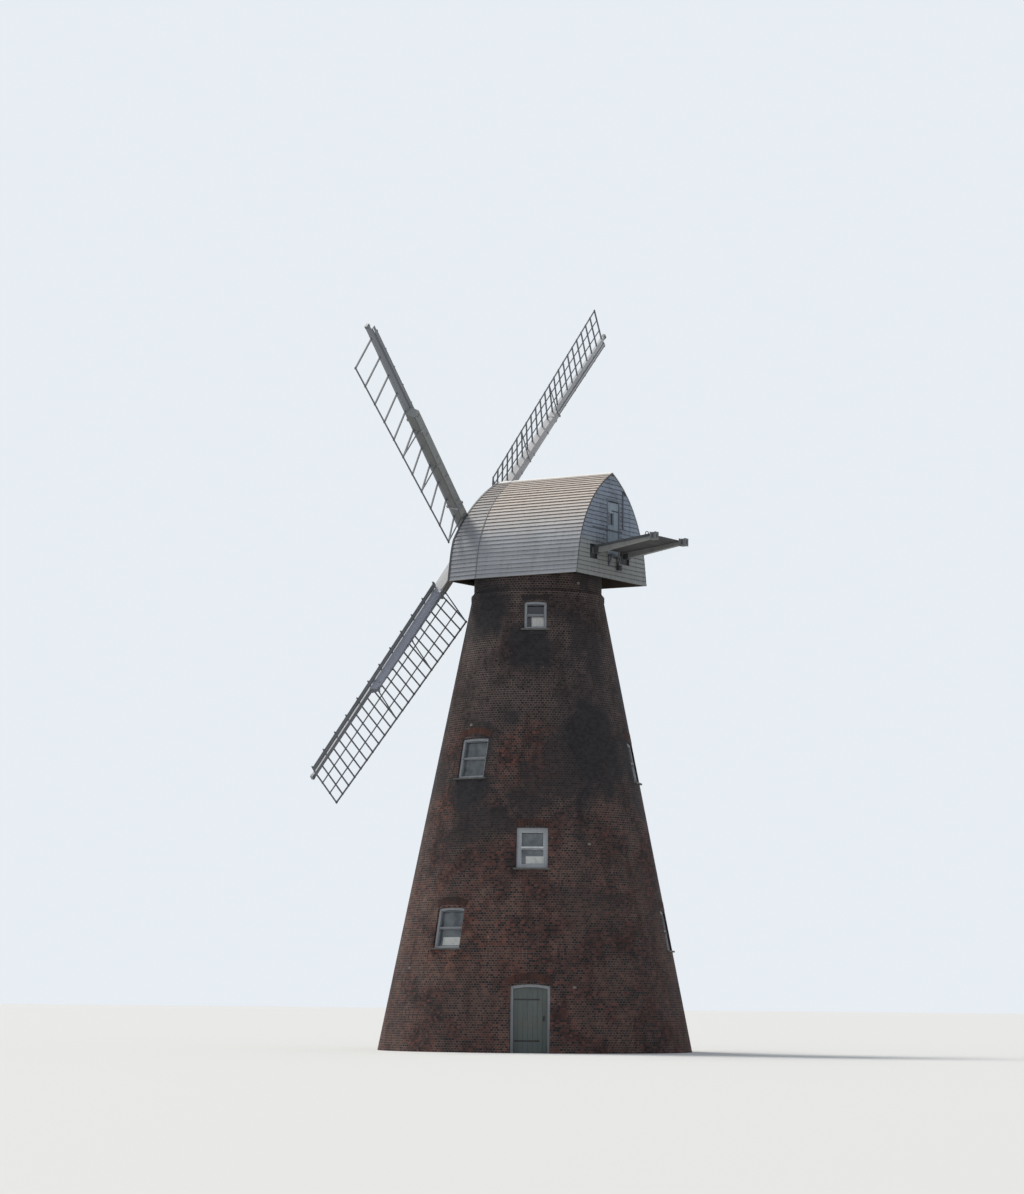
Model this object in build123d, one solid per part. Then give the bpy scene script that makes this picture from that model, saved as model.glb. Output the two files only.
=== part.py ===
"""Brick tower mill: a hollow battered tower, a boarded cap that turns on its curb and four sails on a windshaft.

Millimetres, +Z up, origin at the middle of the tower's foot. The sails face -Y and the fan stage faces +Y.
"""

import math
import os
from dataclasses import dataclass

from build123d import *

# Tower wall
BASE_RADIUS = 5160.0
TOP_RADIUS = 2038.0
WALL_THICKNESS_AT_FOOT = 700.0
ROOM_TOP_RADIUS = 1760.0
STRING_Z = 14800.0
STRING_HEIGHT = 150.0
STRING_RADIUS = 2214.0
COLLAR_Z = 15060.0
COLLAR_RADIUS = 2120.0
TOWER_TOP_Z = 15600.0
STAVES = 8
FIRST_STAVE_ANGLE = 7.5
BATTER = (BASE_RADIUS - TOP_RADIUS) / TOWER_TOP_Z
WALL_LEAN = math.atan(BATTER)
ROOM_BASE_RADIUS = BASE_RADIUS - WALL_THICKNESS_AT_FOOT

# Floors and curb
GROUND_SLAB = 150.0
FLOOR_TOPS = (2700.0, 5250.0, 7950.0, 10350.0, 12750.0)
FLOOR_DEPTH = 180.0
FLOOR_CLEARANCE = 0.3
CURB_SEGMENTS = 12
CURB_INNER_RADIUS = 1800.0
CURB_OUTER_RADIUS = 2100.0
CURB_HEIGHT = 120.0
CURB_JOINT_ANGLE = 0.3

# Windows and ground doors
REVEAL = 110.0
FRAME_DEPTH = 110.0
MEETING_RAIL = 45.0
GLASS = 6.0
GLASS_LAP = 15.0
SILL_HORN = 110.0
SILL_DEPTH = 55.0
SILL_PROUD = 35.0
CUT_INWARD = 2 * WALL_THICKNESS_AT_FOOT
CUT_OUTWARD = 800.0
DOOR_FRAME = 80.0
DOOR_LEAF = 45.0

# Cap shell
CAP_FOOT_Z = 15425.0
CAP_BOARDS = 35.0
CAP_FOOT = (2260.0, 0.0)
CAP_KNEE = (2130.0, 750.0)
CAP_SHOULDER = (1470.0, 2280.0)
CAP_RIDGE = 3520.0
SHOULDER_NORMAL = (0.825, 0.565)
RIDGE_INSET = 1.11
SEAM_Y = -1020.0
HEAD_Y = -2215.0
HEAD_NARROWING = 0.92
HEAD_RAKE_HEIGHT = 1400.0
HEAD_RIDGE_Y = -1580.0
HEAD_SETBACK = 12.0
HEAD_WALL = 40.0
SHAFT_OPENING_RADIUS = 460.0
TAIL_Y = 2860.0
TAIL_SETBACK = 12.0
TAIL_WALL = 50.0

# Tail gable, x across and height above the cap's foot
GABLE_DOOR_X = (-410.0, 290.0)
GABLE_DOOR_HEIGHTS = (800.0, 2540.0)
GABLE_DOOR_LEAF = 40.0
GABLE_PANE_X = (-60.0, 180.0)
GABLE_PANE_HEIGHTS = (1790.0, 2170.0)
SOCKETS_X = ((950.0, 1410.0), (-1110.0, -520.0))
SOCKET_HEIGHTS = (560.0, 1030.0)
GABLE_STRIP_X = (-710.0, -630.0)
GABLE_STRIP_HEIGHTS = (1780.0, 2910.0)
GABLE_RAIL_HEIGHTS = (1580.0, 1625.0)
GABLE_RAIL_X = (-630.0, 1260.0)
GABLE_TRIM = 30.0
BRACKET_X = (-330.0, 270.0)
BRACKET_HEIGHTS = (400.0, 780.0)
BRACKET_DEPTH = 180.0
BRACKET_TIMBER = 45.0
WEIGHT_X = -350.0
WEIGHT_RADIUS = 90.0
WEIGHT_LENGTH = 160.0
RIDGE_CAPPING_HALF = 130.0
RIDGE_CAPPING_DEPTH = 30.0

# Cap frame
RUNNING_GAP = 0.3
SKID_SIZE = 240.0
SKID_CENTRE_RADIUS = 1945.0
SHEERS_FOOT_Z = 15800.0
SHEERS_DEPTH = 250.0
SHEER_X = 600.0
SHEER_WIDTH = 220.0
WEATHER_BEAM_Y = (-2000.0, -1700.0)
WEATHER_BEAM_DEPTH = 500.0
OUTRIGGER_HALF = 120.0
TAIL_BEAM_Y = (2450.0, 2650.0)
STEP_BEAM_Y = (600.0, 900.0)
STEP_BEAM_Z = (15680.0, 15900.0)

# Fan stage
FAN_BEAMS_X = (1050.0, -850.0)
FAN_BEAM_WIDTH = 200.0
FAN_BEAM_UNDERSIDE_Z = 16165.0
FAN_BEAM_TOP_Z = 16365.0
FAN_BEAM_UNDERSIDE_SLOPE = 0.165
FAN_BEAM_TOP_SLOPE = 0.1214
FAN_BEAM_END_Y = 4960.0
POST_BLOCK_LENGTHS = (205.0, 235.0)
POST_BLOCK_WIDTH = 230.0
POST_BLOCK_Z = (16475.0, 16710.0)
DECK_THICKNESS = 40.0
DECK_OVERHANG = 20.0

# Windshaft and poll end
HUB_Y = -2735.0
HUB_Z = 16810.0
SHAFT_RISE = 12.0
INNER_STOCK_BACK = 320.0
POLL_HALF = 280.0
POLL_FRONT = 215.0
POLL_BACK = 530.0
SHAFT_RADIUS = 250.0
NECK_RADIUS = 190.0
NECK_FROM_HUB = 905.0
NECK_HALF = 190.0
TAIL_JOURNAL_RADIUS = 110.0
TAIL_JOURNAL_FROM_HUB = 3400.0
SHAFT_LENGTH = 3750.0
JOURNAL_CLEARANCE = 0.3
BEARING_HALF_WIDTH = 300.0
NECK_BEARING_Y = (-1970.0, -1730.0)
TAIL_BEARING_HALF_WIDTH = 200.0
TAIL_BEARING_Y = (660.0, 840.0)

# Stocks and whips, measured along the sail from the shaft's axis
FIRST_SAIL_TURN = 37.0
STOCK_HALF_LENGTH = 6570.0
STOCK_WIDTH = 330.0
STOCK_TIP_WIDTH = 220.0
STOCK_DEPTH = 290.0
STOCK_TIP_DEPTH = 170.0
STOCK_END_SLANT = 90.0
WHIP_HEEL = 600.0
WHIP_TIP = 10410.0
WHIP_HEEL_WIDTH = 240.0
WHIP_TIP_WIDTH = 140.0
WHIP_HEEL_DEPTH = 150.0
WHIP_TIP_DEPTH = 90.0
CLAMPS_FROM_HUB = (2170.0, 6230.0)
CLAMP_WIDTH = 90.0
CLAMP_IRON = 15.0

# Leading boards and bar ends
LEAD_BOARD_WIDTH = 150.0
LEAD_BOARD_THICKNESS = 22.0
LEAD_BOARD_GAP = 70.0
BAR_END = 35.0


@dataclass(frozen=True)
class Opening:
    """A window or door: direction from the axis in degrees, heights, widths and its lean from upright."""

    angle: float
    sill_z: float
    head_z: float
    width: float
    rise: float
    border: float
    rail_z: float
    lean: float

    @property
    def height(self):
        """Height up its own face."""
        return (self.head_z - self.sill_z) / math.cos(self.lean)

    @property
    def rail(self):
        """Meeting rail's height up its own face."""
        return (self.rail_z - self.sill_z) / math.cos(self.lean)

    @property
    def radius(self):
        """Distance of the wall's face from the axis, at the sill or above an upright door."""
        return wall_radius(self.sill_z if self.lean else self.head_z)


@dataclass(frozen=True)
class SailFrame:
    """Bars, laths and stays of one kind of sail, measured along and across the whip."""

    heel: float
    tip: float
    bars: int
    bar_width: float
    bar_depth: float
    heel_reach: float
    tip_reach: float
    heel_drop: float
    tip_drop: float
    lead_every: int
    laths: tuple
    lath_width: float
    lath_depth: float
    hem_width: float
    hem_depth: float
    stays: tuple


def wall_radius(z):
    """Outside of the battered wall."""
    return BASE_RADIUS - BATTER * z


def storey_windows(angles, sill_z, head_z, width, rail_z, rise=30.0, border=70.0):
    """One storey's equal windows, which lean with the wall."""
    return [Opening(angle, sill_z, head_z, width, rise, border, rail_z, WALL_LEAN) for angle in angles]


WINDOWS = (
    *storey_windows((30.0, 210.0), 13690.0, 14610.0, 720.0, 14160.0),
    *storey_windows((165.0, 255.0), 11250.0, 12350.0, 850.0, 11820.0),
    *storey_windows((352.0, 112.0, 219.0), 8800.0, 10100.0, 1110.0, 9455.0),
    *storey_windows((30.0, 210.0), 5850.0, 7160.0, 1000.0, 6520.0, rise=1.0, border=130.0),
    *storey_windows((352.0, 112.0, 219.0), 3300.0, 4600.0, 1110.0, 3955.0),
)
GROUND_DOORS = tuple(Opening(angle, 0.0, 2150.0, 1250.0, 60.0, DOOR_FRAME, 0.0, 0.0) for angle in (30.0, 210.0))

COMMON_SAIL = SailFrame(
    heel=1980.0,
    tip=10175.0,
    bars=23,
    bar_width=35.0,
    bar_depth=45.0,
    heel_reach=1480.0,
    tip_reach=1450.0,
    heel_drop=635.0,
    tip_drop=215.0,
    lead_every=2,
    laths=(0.335, 0.68),
    lath_width=40.0,
    lath_depth=24.0,
    hem_width=55.0,
    hem_depth=30.0,
    stays=(0, 6, 12),
)
OPEN_SAIL = SailFrame(
    heel=1760.0,
    tip=9880.0,
    bars=11,
    bar_width=45.0,
    bar_depth=45.0,
    heel_reach=1280.0,
    tip_reach=1400.0,
    heel_drop=490.0,
    tip_drop=190.0,
    lead_every=1,
    laths=(),
    lath_width=0.0,
    lath_depth=0.0,
    hem_width=50.0,
    hem_depth=30.0,
    stays=(0, 3, 5),
)


# Shared shapes

def block(x, y, z):
    """Box between two bounds on each axis."""
    size = [high - low for low, high in (x, y, z)]
    middle = [(low + high) / 2 for low, high in (x, y, z)]
    return Pos(*middle) * Box(*size)


def side_prism(points, x):
    """Prism across the mill from (y, z) points, between two x bounds."""
    face = Plane.YZ * Polygon(*points, align=None)
    return Pos(x[0], 0, 0) * extrude(face, x[1] - x[0], dir=(1, 0, 0))


def beam(start, end, width, depth, side):
    """Straight bar of rectangular section between two points, its width along side."""
    run = Vector(*end) - Vector(*start)
    section = Plane(origin=start, x_dir=side, z_dir=run) * Rectangle(width, depth)
    return extrude(section, run.length)


def above_foot(heights):
    """Heights above the cap's foot as heights above the ground."""
    return tuple(CAP_FOOT_Z + height for height in heights)


# Tower

def room_radius(z):
    """Inside of the wall."""
    return ROOM_BASE_RADIUS + (ROOM_TOP_RADIUS - ROOM_BASE_RADIUS) * z / TOWER_TOP_Z


def facing(angle, radius, z, lean=0.0):
    """Plane on the wall: X sideways, Y up its face, Z outward."""
    turn = math.radians(angle)
    sideways = (-math.sin(turn), math.cos(turn), 0)
    normal = (math.cos(turn) * math.cos(lean), math.sin(turn) * math.cos(lean), math.sin(lean))
    return Plane(origin=(radius * math.cos(turn), radius * math.sin(turn), z), x_dir=sideways, z_dir=normal)


def arched_face(width, foot, head, rise):
    """Upright opening with a shallow arched head."""
    half = width / 2
    sides = Polyline((half, head - rise), (half, foot), (-half, foot), (-half, head - rise))
    arch = ThreePointArc((-half, head - rise), (0, head), (half, head - rise))
    return make_face([*sides.edges(), *arch.edges()])


def slab(plane, face, inner, outer):
    """A face drawn on a plane of the wall, carried between two distances off it."""
    return plane.location * Pos(0, 0, inner) * extrude(face, outer - inner, dir=(0, 0, 1))


def opening_slab(opening, face, inner, outer):
    """Slab square to an opening."""
    return slab(facing(opening.angle, opening.radius, opening.sill_z, opening.lean), face, inner, outer)


def opening_cut(opening):
    """Opening through the wall."""
    face = arched_face(opening.width, 0, opening.height, opening.rise)
    return opening_slab(opening, face, -CUT_INWARD, CUT_OUTWARD)


def window_sill(window):
    """Level sill with its horns let into the brickwork."""
    face = Pos(0, -SILL_DEPTH / 2) * Rectangle(window.width + 2 * SILL_HORN, SILL_DEPTH)
    plane = facing(window.angle, window.radius, window.sill_z)
    return slab(plane, face, -REVEAL - FRAME_DEPTH, SILL_PROUD)


def pane_faces(window, lap=0.0):
    """Lower and upper lights, each wider by lap on every side."""
    width = window.width - 2 * (window.border - lap)
    foot = window.border - lap
    head = window.height - window.border + lap
    lower = arched_face(width, foot, window.rail - MEETING_RAIL / 2 + lap, 1.0)
    upper = arched_face(width, window.rail + MEETING_RAIL / 2 - lap, head, window.rise)
    return lower, upper


def window_frame(window):
    """Box frame with its meeting rail, cut level where it stands on the sill."""
    face = arched_face(window.width, 0, window.height, window.rise)
    for pane in pane_faces(window):
        face -= pane
    return opening_slab(window, face, -REVEAL - FRAME_DEPTH, -REVEAL) - window_sill(window)


def window_panes(window):
    """Two panes against the back of the frame."""
    back = -REVEAL - FRAME_DEPTH
    return [opening_slab(window, face, back - GLASS, back) for face in pane_faces(window, GLASS_LAP)]


def door_frame(door):
    """Frame without a threshold."""
    face = arched_face(door.width, 0, door.height, door.rise)
    face -= arched_face(door.width - 2 * door.border, 0, door.height - door.border, door.rise)
    return opening_slab(door, face, -REVEAL - FRAME_DEPTH, -REVEAL)


def door_leaf(door):
    """Closed leaf within its frame."""
    back = -REVEAL - FRAME_DEPTH
    face = arched_face(door.width - 2 * door.border, 0, door.height - door.border, door.rise)
    return opening_slab(door, face, back, back + DOOR_LEAF)


def wall_stave(index):
    """One upright segment of the wall with its openings cut through."""
    profile = Polygon(
        (ROOM_BASE_RADIUS, 0),
        (BASE_RADIUS, 0),
        (wall_radius(STRING_Z), STRING_Z),
        (STRING_RADIUS, STRING_Z),
        (STRING_RADIUS, STRING_Z + STRING_HEIGHT),
        (COLLAR_RADIUS, COLLAR_Z),
        (COLLAR_RADIUS, TOWER_TOP_Z),
        (ROOM_TOP_RADIUS, TOWER_TOP_Z),
        align=None,
    )
    sweep = 360.0 / STAVES
    start = FIRST_STAVE_ANGLE + index * sweep
    stave = Rot(0, 0, start) * revolve(Plane.XZ * profile, Axis.Z, sweep)
    windows = [window for window in WINDOWS if (window.angle - start) % 360.0 < sweep]
    doors = [door for door in GROUND_DOORS if (door.angle - start) % 360.0 < sweep]
    cuts = [opening_cut(opening) for opening in (*windows, *doors)]
    return stave - [*cuts, *(window_sill(window) for window in windows)]


def floor_disc(top_z, depth):
    """Floor that follows the slope of the wall inside."""
    low = room_radius(top_z - depth) - FLOOR_CLEARANCE
    high = room_radius(top_z) - FLOOR_CLEARANCE
    return Pos(0, 0, top_z - depth / 2) * Cone(low, high, depth)


def curb_segment(index):
    """Piece of the flat ring that the cap turns on."""
    sweep = 360.0 / CURB_SEGMENTS
    radii = (CURB_INNER_RADIUS, CURB_OUTER_RADIUS)
    middle = Pos(sum(radii) / 2, TOWER_TOP_Z + CURB_HEIGHT / 2)
    section = Plane.XZ * middle * Rectangle(radii[1] - radii[0], CURB_HEIGHT)
    piece = revolve(section, Axis.Z, sweep - CURB_JOINT_ANGLE)
    return Rot(0, 0, index * sweep) * piece


# Cap

def cap_face(y, narrowing=1.0, inset=0.0):
    """Cross-section of the cap at y, drawn in by inset."""
    foot = ((CAP_FOOT[0] - inset) * narrowing, CAP_FOOT_Z)
    knee = ((CAP_KNEE[0] - inset) * narrowing, CAP_FOOT_Z + CAP_KNEE[1])
    shoulder = (
        (CAP_SHOULDER[0] - inset * SHOULDER_NORMAL[0]) * narrowing,
        CAP_FOOT_Z + CAP_SHOULDER[1] - inset * SHOULDER_NORMAL[1],
    )
    ridge = (0, CAP_FOOT_Z + CAP_RIDGE - inset * RIDGE_INSET)
    mirrored = [(-x, z) for x, z in (foot, knee, shoulder)]
    edges = [
        Line(mirrored[0], foot),
        Line(foot, knee),
        ThreePointArc(knee, shoulder, ridge),
        ThreePointArc(ridge, mirrored[2], mirrored[1]),
        Line(mirrored[1], mirrored[0]),
    ]
    return Plane(origin=(0, y, 0), x_dir=(1, 0, 0), z_dir=(0, -1, 0)) * make_face(edges)


def cap_body(inset=0.0):
    """Filled cap behind the seam."""
    return extrude(cap_face(SEAM_Y, inset=inset), TAIL_Y - SEAM_Y, dir=(0, 1, 0))


def bow_body(inset=0.0):
    """Filled narrowing bow, from the seam to the head."""
    sections = [cap_face(SEAM_Y, inset=inset), cap_face(HEAD_Y, HEAD_NARROWING, inset)]
    return loft(sections, ruled=True)


def head_prism(setback):
    """Everything behind the raked head, whose face is set back."""
    ridge_z = CAP_FOOT_Z + CAP_RIDGE
    rake_z = CAP_FOOT_Z + HEAD_RAKE_HEIGHT
    points = [
        (HEAD_Y + setback, CAP_FOOT_Z),
        (HEAD_Y + setback, rake_z),
        (HEAD_RIDGE_Y + setback, ridge_z),
        (TAIL_Y, ridge_z),
        (TAIL_Y, CAP_FOOT_Z),
    ]
    return side_prism(points, (-CAP_FOOT[0], CAP_FOOT[0]))


def halves(shape):
    """Left (+X) and right (-X) halves of a shape."""
    return split(shape, Plane.YZ, keep=Keep.TOP), split(shape, Plane.YZ, keep=Keep.BOTTOM)


def head_wall():
    """Raked wall behind the sails, open for the shaft."""
    band = head_prism(HEAD_SETBACK) - head_prism(HEAD_SETBACK + HEAD_WALL)
    opening = shaft_plane().location * Cylinder(SHAFT_OPENING_RADIUS, 3 * SHAFT_OPENING_RADIUS)
    return (band & bow_body(CAP_BOARDS)) - opening


def tail_wall():
    """Gable wall with its door and the two beam sockets cut through."""
    outer = TAIL_Y - TAIL_SETBACK
    depth = (outer - TAIL_WALL, outer)
    wall = cap_body(CAP_BOARDS) & block((-CAP_FOOT[0], CAP_FOOT[0]), depth, above_foot((0, CAP_RIDGE)))
    wall -= block(GABLE_DOOR_X, depth, above_foot(GABLE_DOOR_HEIGHTS))
    for socket in SOCKETS_X:
        wall -= block(socket, depth, above_foot(SOCKET_HEIGHTS))
    return wall


def gable_door():
    """Closed door with a small light."""
    inner = TAIL_Y - TAIL_SETBACK - TAIL_WALL
    depth = (inner, inner + GABLE_DOOR_LEAF)
    door = block(GABLE_DOOR_X, depth, above_foot(GABLE_DOOR_HEIGHTS))
    return door - block(GABLE_PANE_X, depth, above_foot(GABLE_PANE_HEIGHTS))


def gable_pane():
    """Glass of the door's light."""
    inner = TAIL_Y - TAIL_SETBACK - TAIL_WALL + GABLE_DOOR_LEAF / 2
    return block(GABLE_PANE_X, (inner, inner + GLASS), above_foot(GABLE_PANE_HEIGHTS))


def gable_trim():
    """Upright strip and thin rail on the gable's face."""
    face = TAIL_Y - TAIL_SETBACK
    depth = (face, face + GABLE_TRIM)
    strip = block(GABLE_STRIP_X, depth, above_foot(GABLE_STRIP_HEIGHTS))
    rail = block(GABLE_RAIL_X, depth, above_foot(GABLE_RAIL_HEIGHTS))
    return [strip, rail]


def gable_bracket():
    """Open bracket below the door with the round weight under it."""
    face = TAIL_Y - TAIL_SETBACK
    foot, top = above_foot(BRACKET_HEIGHTS)
    upright = (face, face + BRACKET_TIMBER)
    shelf = block(BRACKET_X, (face, face + BRACKET_DEPTH), (top - BRACKET_TIMBER, top))
    rail = block(BRACKET_X, upright, (foot, foot + BRACKET_TIMBER))
    brace = [
        (face, foot),
        (face + BRACKET_DEPTH - BRACKET_TIMBER, top - BRACKET_TIMBER),
        (face + BRACKET_DEPTH, top - BRACKET_TIMBER),
        (face + BRACKET_TIMBER, foot),
    ]
    frame = shelf + rail
    for x in (BRACKET_X[0], BRACKET_X[1] - BRACKET_TIMBER):
        side = (x, x + BRACKET_TIMBER)
        frame += [block(side, upright, (foot, top)), side_prism(brace, side)]
    weight = Pos(WEIGHT_X, face + WEIGHT_RADIUS, foot) * Cylinder(WEIGHT_RADIUS, WEIGHT_LENGTH)
    return frame, weight - frame


def ridge_capping():
    """Angled board along the ridge."""
    top = CAP_FOOT_Z + CAP_RIDGE + RIDGE_CAPPING_DEPTH
    drop = RIDGE_CAPPING_HALF * math.tan(math.radians(25.6))
    points = [
        (-RIDGE_CAPPING_HALF, top - drop - 2 * RIDGE_CAPPING_DEPTH),
        (RIDGE_CAPPING_HALF, top - drop - 2 * RIDGE_CAPPING_DEPTH),
        (RIDGE_CAPPING_HALF, top - drop),
        (0, top),
        (-RIDGE_CAPPING_HALF, top - drop),
    ]
    face = Plane(origin=(0, TAIL_Y, 0), x_dir=(1, 0, 0), z_dir=(0, -1, 0)) * Polygon(*points, align=None)
    prism = extrude(face, TAIL_Y - HEAD_RIDGE_Y, dir=(0, -1, 0))
    return prism - cap_body() - bow_body()


# Cap frame

def inside_cap(shape):
    """Timber cut off where it meets the cap's boards."""
    behind = shape & cap_body(CAP_BOARDS)
    before = shape & bow_body(CAP_BOARDS)
    return [part for part in (behind, before) if part and part.volume]


def sheers():
    """Two long timbers between the weather beam and the tail beam."""
    heights = (SHEERS_FOOT_Z, SHEERS_FOOT_Z + SHEERS_DEPTH)
    length = (WEATHER_BEAM_Y[1], TAIL_BEAM_Y[0])
    half = SHEER_WIDTH / 2
    return [block((x - half, x + half), length, heights) for x in (SHEER_X, -SHEER_X)]


def cross_beams():
    """Weather beam, step beam, outriggers and tail beam."""
    width = (-CAP_FOOT[0], CAP_FOOT[0])
    heights = (SHEERS_FOOT_Z, SHEERS_FOOT_Z + SHEERS_DEPTH)
    side = SHEER_X + SHEER_WIDTH / 2
    between = SHEER_X - SHEER_WIDTH / 2
    weather = block(width, WEATHER_BEAM_Y, (SHEERS_FOOT_Z, SHEERS_FOOT_Z + WEATHER_BEAM_DEPTH))
    tail = block(width, TAIL_BEAM_Y, heights)
    step = block((-between, between), STEP_BEAM_Y, STEP_BEAM_Z)
    outriggers = [block(x, (-OUTRIGGER_HALF, OUTRIGGER_HALF), heights) for x in ((side, width[1]), (width[0], -side))]
    return [part for timber in (weather, tail, step, *outriggers) for part in inside_cap(timber)]


def skids():
    """Blocks that ride on the curb."""
    low = TOWER_TOP_Z + CURB_HEIGHT + RUNNING_GAP
    half = SKID_SIZE / 2
    along = math.sqrt(SKID_CENTRE_RADIUS**2 - SHEER_X**2)
    spots = [(x, y) for x in (SHEER_X, -SHEER_X) for y in (along, -along)]
    spots += [(SKID_CENTRE_RADIUS, 0), (-SKID_CENTRE_RADIUS, 0)]
    return [block((x - half, x + half), (y - half, y + half), (low, SHEERS_FOOT_Z)) for x, y in spots]


def bearing(half_width, y, foot_z, journal_radius):
    """Block under the shaft, hollowed for its journal."""
    shaft = shaft_plane().location * Pos(0, 0, -SHAFT_LENGTH / 2)
    bore = shaft * Cylinder(journal_radius + JOURNAL_CLEARANCE, SHAFT_LENGTH)
    middle = (y[0] + y[1]) / 2
    axis_z = HUB_Z - (middle - HUB_Y) * math.tan(math.radians(SHAFT_RISE))
    return block((-half_width, half_width), y, (foot_z, axis_z)) - bore


# Fan stage

def fan_beam_underside(y):
    """Height of the beams' underside."""
    return FAN_BEAM_UNDERSIDE_Z + (y - TAIL_Y) * FAN_BEAM_UNDERSIDE_SLOPE


def fan_beam_top(y):
    """Height of the beams' upper face."""
    return FAN_BEAM_TOP_Z + (y - TAIL_Y) * FAN_BEAM_TOP_SLOPE


def fan_beam(x):
    """Rising beam whose heel stands on the tail beam."""
    heel_z = SHEERS_FOOT_Z + SHEERS_DEPTH
    points = [
        (TAIL_BEAM_Y[0], heel_z),
        (TAIL_BEAM_Y[1], heel_z),
        (TAIL_BEAM_Y[1], fan_beam_underside(TAIL_BEAM_Y[1])),
        (FAN_BEAM_END_Y, fan_beam_underside(FAN_BEAM_END_Y)),
        (FAN_BEAM_END_Y, fan_beam_top(FAN_BEAM_END_Y)),
        (TAIL_BEAM_Y[0], fan_beam_top(TAIL_BEAM_Y[0])),
    ]
    return side_prism(points, (x - FAN_BEAM_WIDTH / 2, x + FAN_BEAM_WIDTH / 2))


def post_blocks():
    """Blocks at the tips that carried the fan's posts."""
    half = POST_BLOCK_WIDTH / 2
    blocks = []
    for x, length in zip(FAN_BEAMS_X, POST_BLOCK_LENGTHS):
        blocks.append(block((x - half, x + half), (FAN_BEAM_END_Y, FAN_BEAM_END_Y + length), POST_BLOCK_Z))
    return blocks


def fan_deck():
    """Boards over the beams."""
    start = TAIL_Y - TAIL_SETBACK
    end = FAN_BEAM_END_Y
    points = [
        (start, fan_beam_top(start)),
        (end, fan_beam_top(end)),
        (end, fan_beam_top(end) + DECK_THICKNESS),
        (start, fan_beam_top(start) + DECK_THICKNESS),
    ]
    reach = FAN_BEAM_WIDTH / 2 + DECK_OVERHANG
    return side_prism(points, (FAN_BEAMS_X[1] - reach, FAN_BEAMS_X[0] + reach))


# Sails

def shaft_axis():
    """Unit vector along the shaft, out of the head."""
    rise = math.radians(SHAFT_RISE)
    return Vector(0, -math.cos(rise), math.sin(rise))


def shaft_plane():
    """Plane of the outer stock, Z along the shaft."""
    return Plane(origin=(0, HUB_Y, HUB_Z), x_dir=(1, 0, 0), z_dir=shaft_axis())


def sail_plane(turn, back=0.0):
    """Frame of one sail: X along the whip, Y to the leading side, Z to the front."""
    axis = shaft_axis()
    upward = Vector(0, math.sin(math.radians(SHAFT_RISE)), math.cos(math.radians(SHAFT_RISE)))
    leading = axis.cross(upward)
    radial = upward * math.cos(math.radians(turn)) + leading * math.sin(math.radians(turn))
    origin = Vector(0, HUB_Y, HUB_Z) - axis * back
    return Plane(origin=origin, x_dir=radial, z_dir=axis)


SAILS = (
    (FIRST_SAIL_TURN, 0.0, COMMON_SAIL),
    (FIRST_SAIL_TURN + 180.0, 0.0, COMMON_SAIL),
    (FIRST_SAIL_TURN - 90.0, INNER_STOCK_BACK, OPEN_SAIL),
    (FIRST_SAIL_TURN + 90.0, INNER_STOCK_BACK, OPEN_SAIL),
)


def tapered_timber(plan, elevation):
    """Timber with one outline seen from the front and another from the side."""
    reach = 2 * STOCK_WIDTH
    front = extrude(Plane.XY.offset(-reach) * Polygon(*plan, align=None), 2 * reach, dir=(0, 0, 1))
    side = extrude(Plane.XZ.offset(-reach) * Polygon(*elevation, align=None), 2 * reach, dir=(0, -1, 0))
    return front & side


def stock_local():
    """Stock in the sail's own frame, straight in front and tapered behind."""
    length = STOCK_HALF_LENGTH
    plan = [
        (-length, -STOCK_TIP_WIDTH / 2),
        (0, -STOCK_WIDTH / 2),
        (length, -STOCK_TIP_WIDTH / 2),
        (length, STOCK_TIP_WIDTH / 2),
        (0, STOCK_WIDTH / 2),
        (-length, STOCK_TIP_WIDTH / 2),
    ]
    front = STOCK_DEPTH / 2
    elevation = [
        (-length, front),
        (STOCK_END_SLANT - length, front - STOCK_TIP_DEPTH),
        (0, -front),
        (length - STOCK_END_SLANT, front - STOCK_TIP_DEPTH),
        (length, front),
    ]
    return tapered_timber(plan, elevation)


def whip_local():
    """Whip on the front of its stock, in the sail's own frame."""
    plan = [
        (WHIP_HEEL, -WHIP_HEEL_WIDTH / 2),
        (WHIP_TIP, -WHIP_TIP_WIDTH / 2),
        (WHIP_TIP, WHIP_TIP_WIDTH / 2),
        (WHIP_HEEL, WHIP_HEEL_WIDTH / 2),
    ]
    foot = STOCK_DEPTH / 2
    elevation = [
        (WHIP_HEEL, foot),
        (WHIP_TIP, foot),
        (WHIP_TIP, foot + WHIP_TIP_DEPTH),
        (WHIP_HEEL, foot + WHIP_HEEL_DEPTH),
    ]
    return tapered_timber(plan, elevation)


def whip_share(along):
    """Share of the whip's length."""
    return (along - WHIP_HEEL) / (WHIP_TIP - WHIP_HEEL)


def whip_depth(along):
    """Depth of the whip."""
    return WHIP_HEEL_DEPTH + whip_share(along) * (WHIP_TIP_DEPTH - WHIP_HEEL_DEPTH)


def whip_middle(along):
    """Height of the whip's middle above the stock's centre plane."""
    return (STOCK_DEPTH + whip_depth(along)) / 2


def whip_edge(along):
    """Half width of the whip."""
    return (WHIP_HEEL_WIDTH + whip_share(along) * (WHIP_TIP_WIDTH - WHIP_HEEL_WIDTH)) / 2


def sail_point(kind, along, share):
    """Point of the sail's twisted surface: share 0 at the whip, 1 at the hem."""
    progress = (along - kind.heel) / (kind.tip - kind.heel)
    reach = kind.heel_reach + progress * (kind.tip_reach - kind.heel_reach)
    drop = kind.heel_drop + progress * (kind.tip_drop - kind.heel_drop)
    return Vector(along, -reach * share, whip_middle(along) - drop * share)


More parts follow.
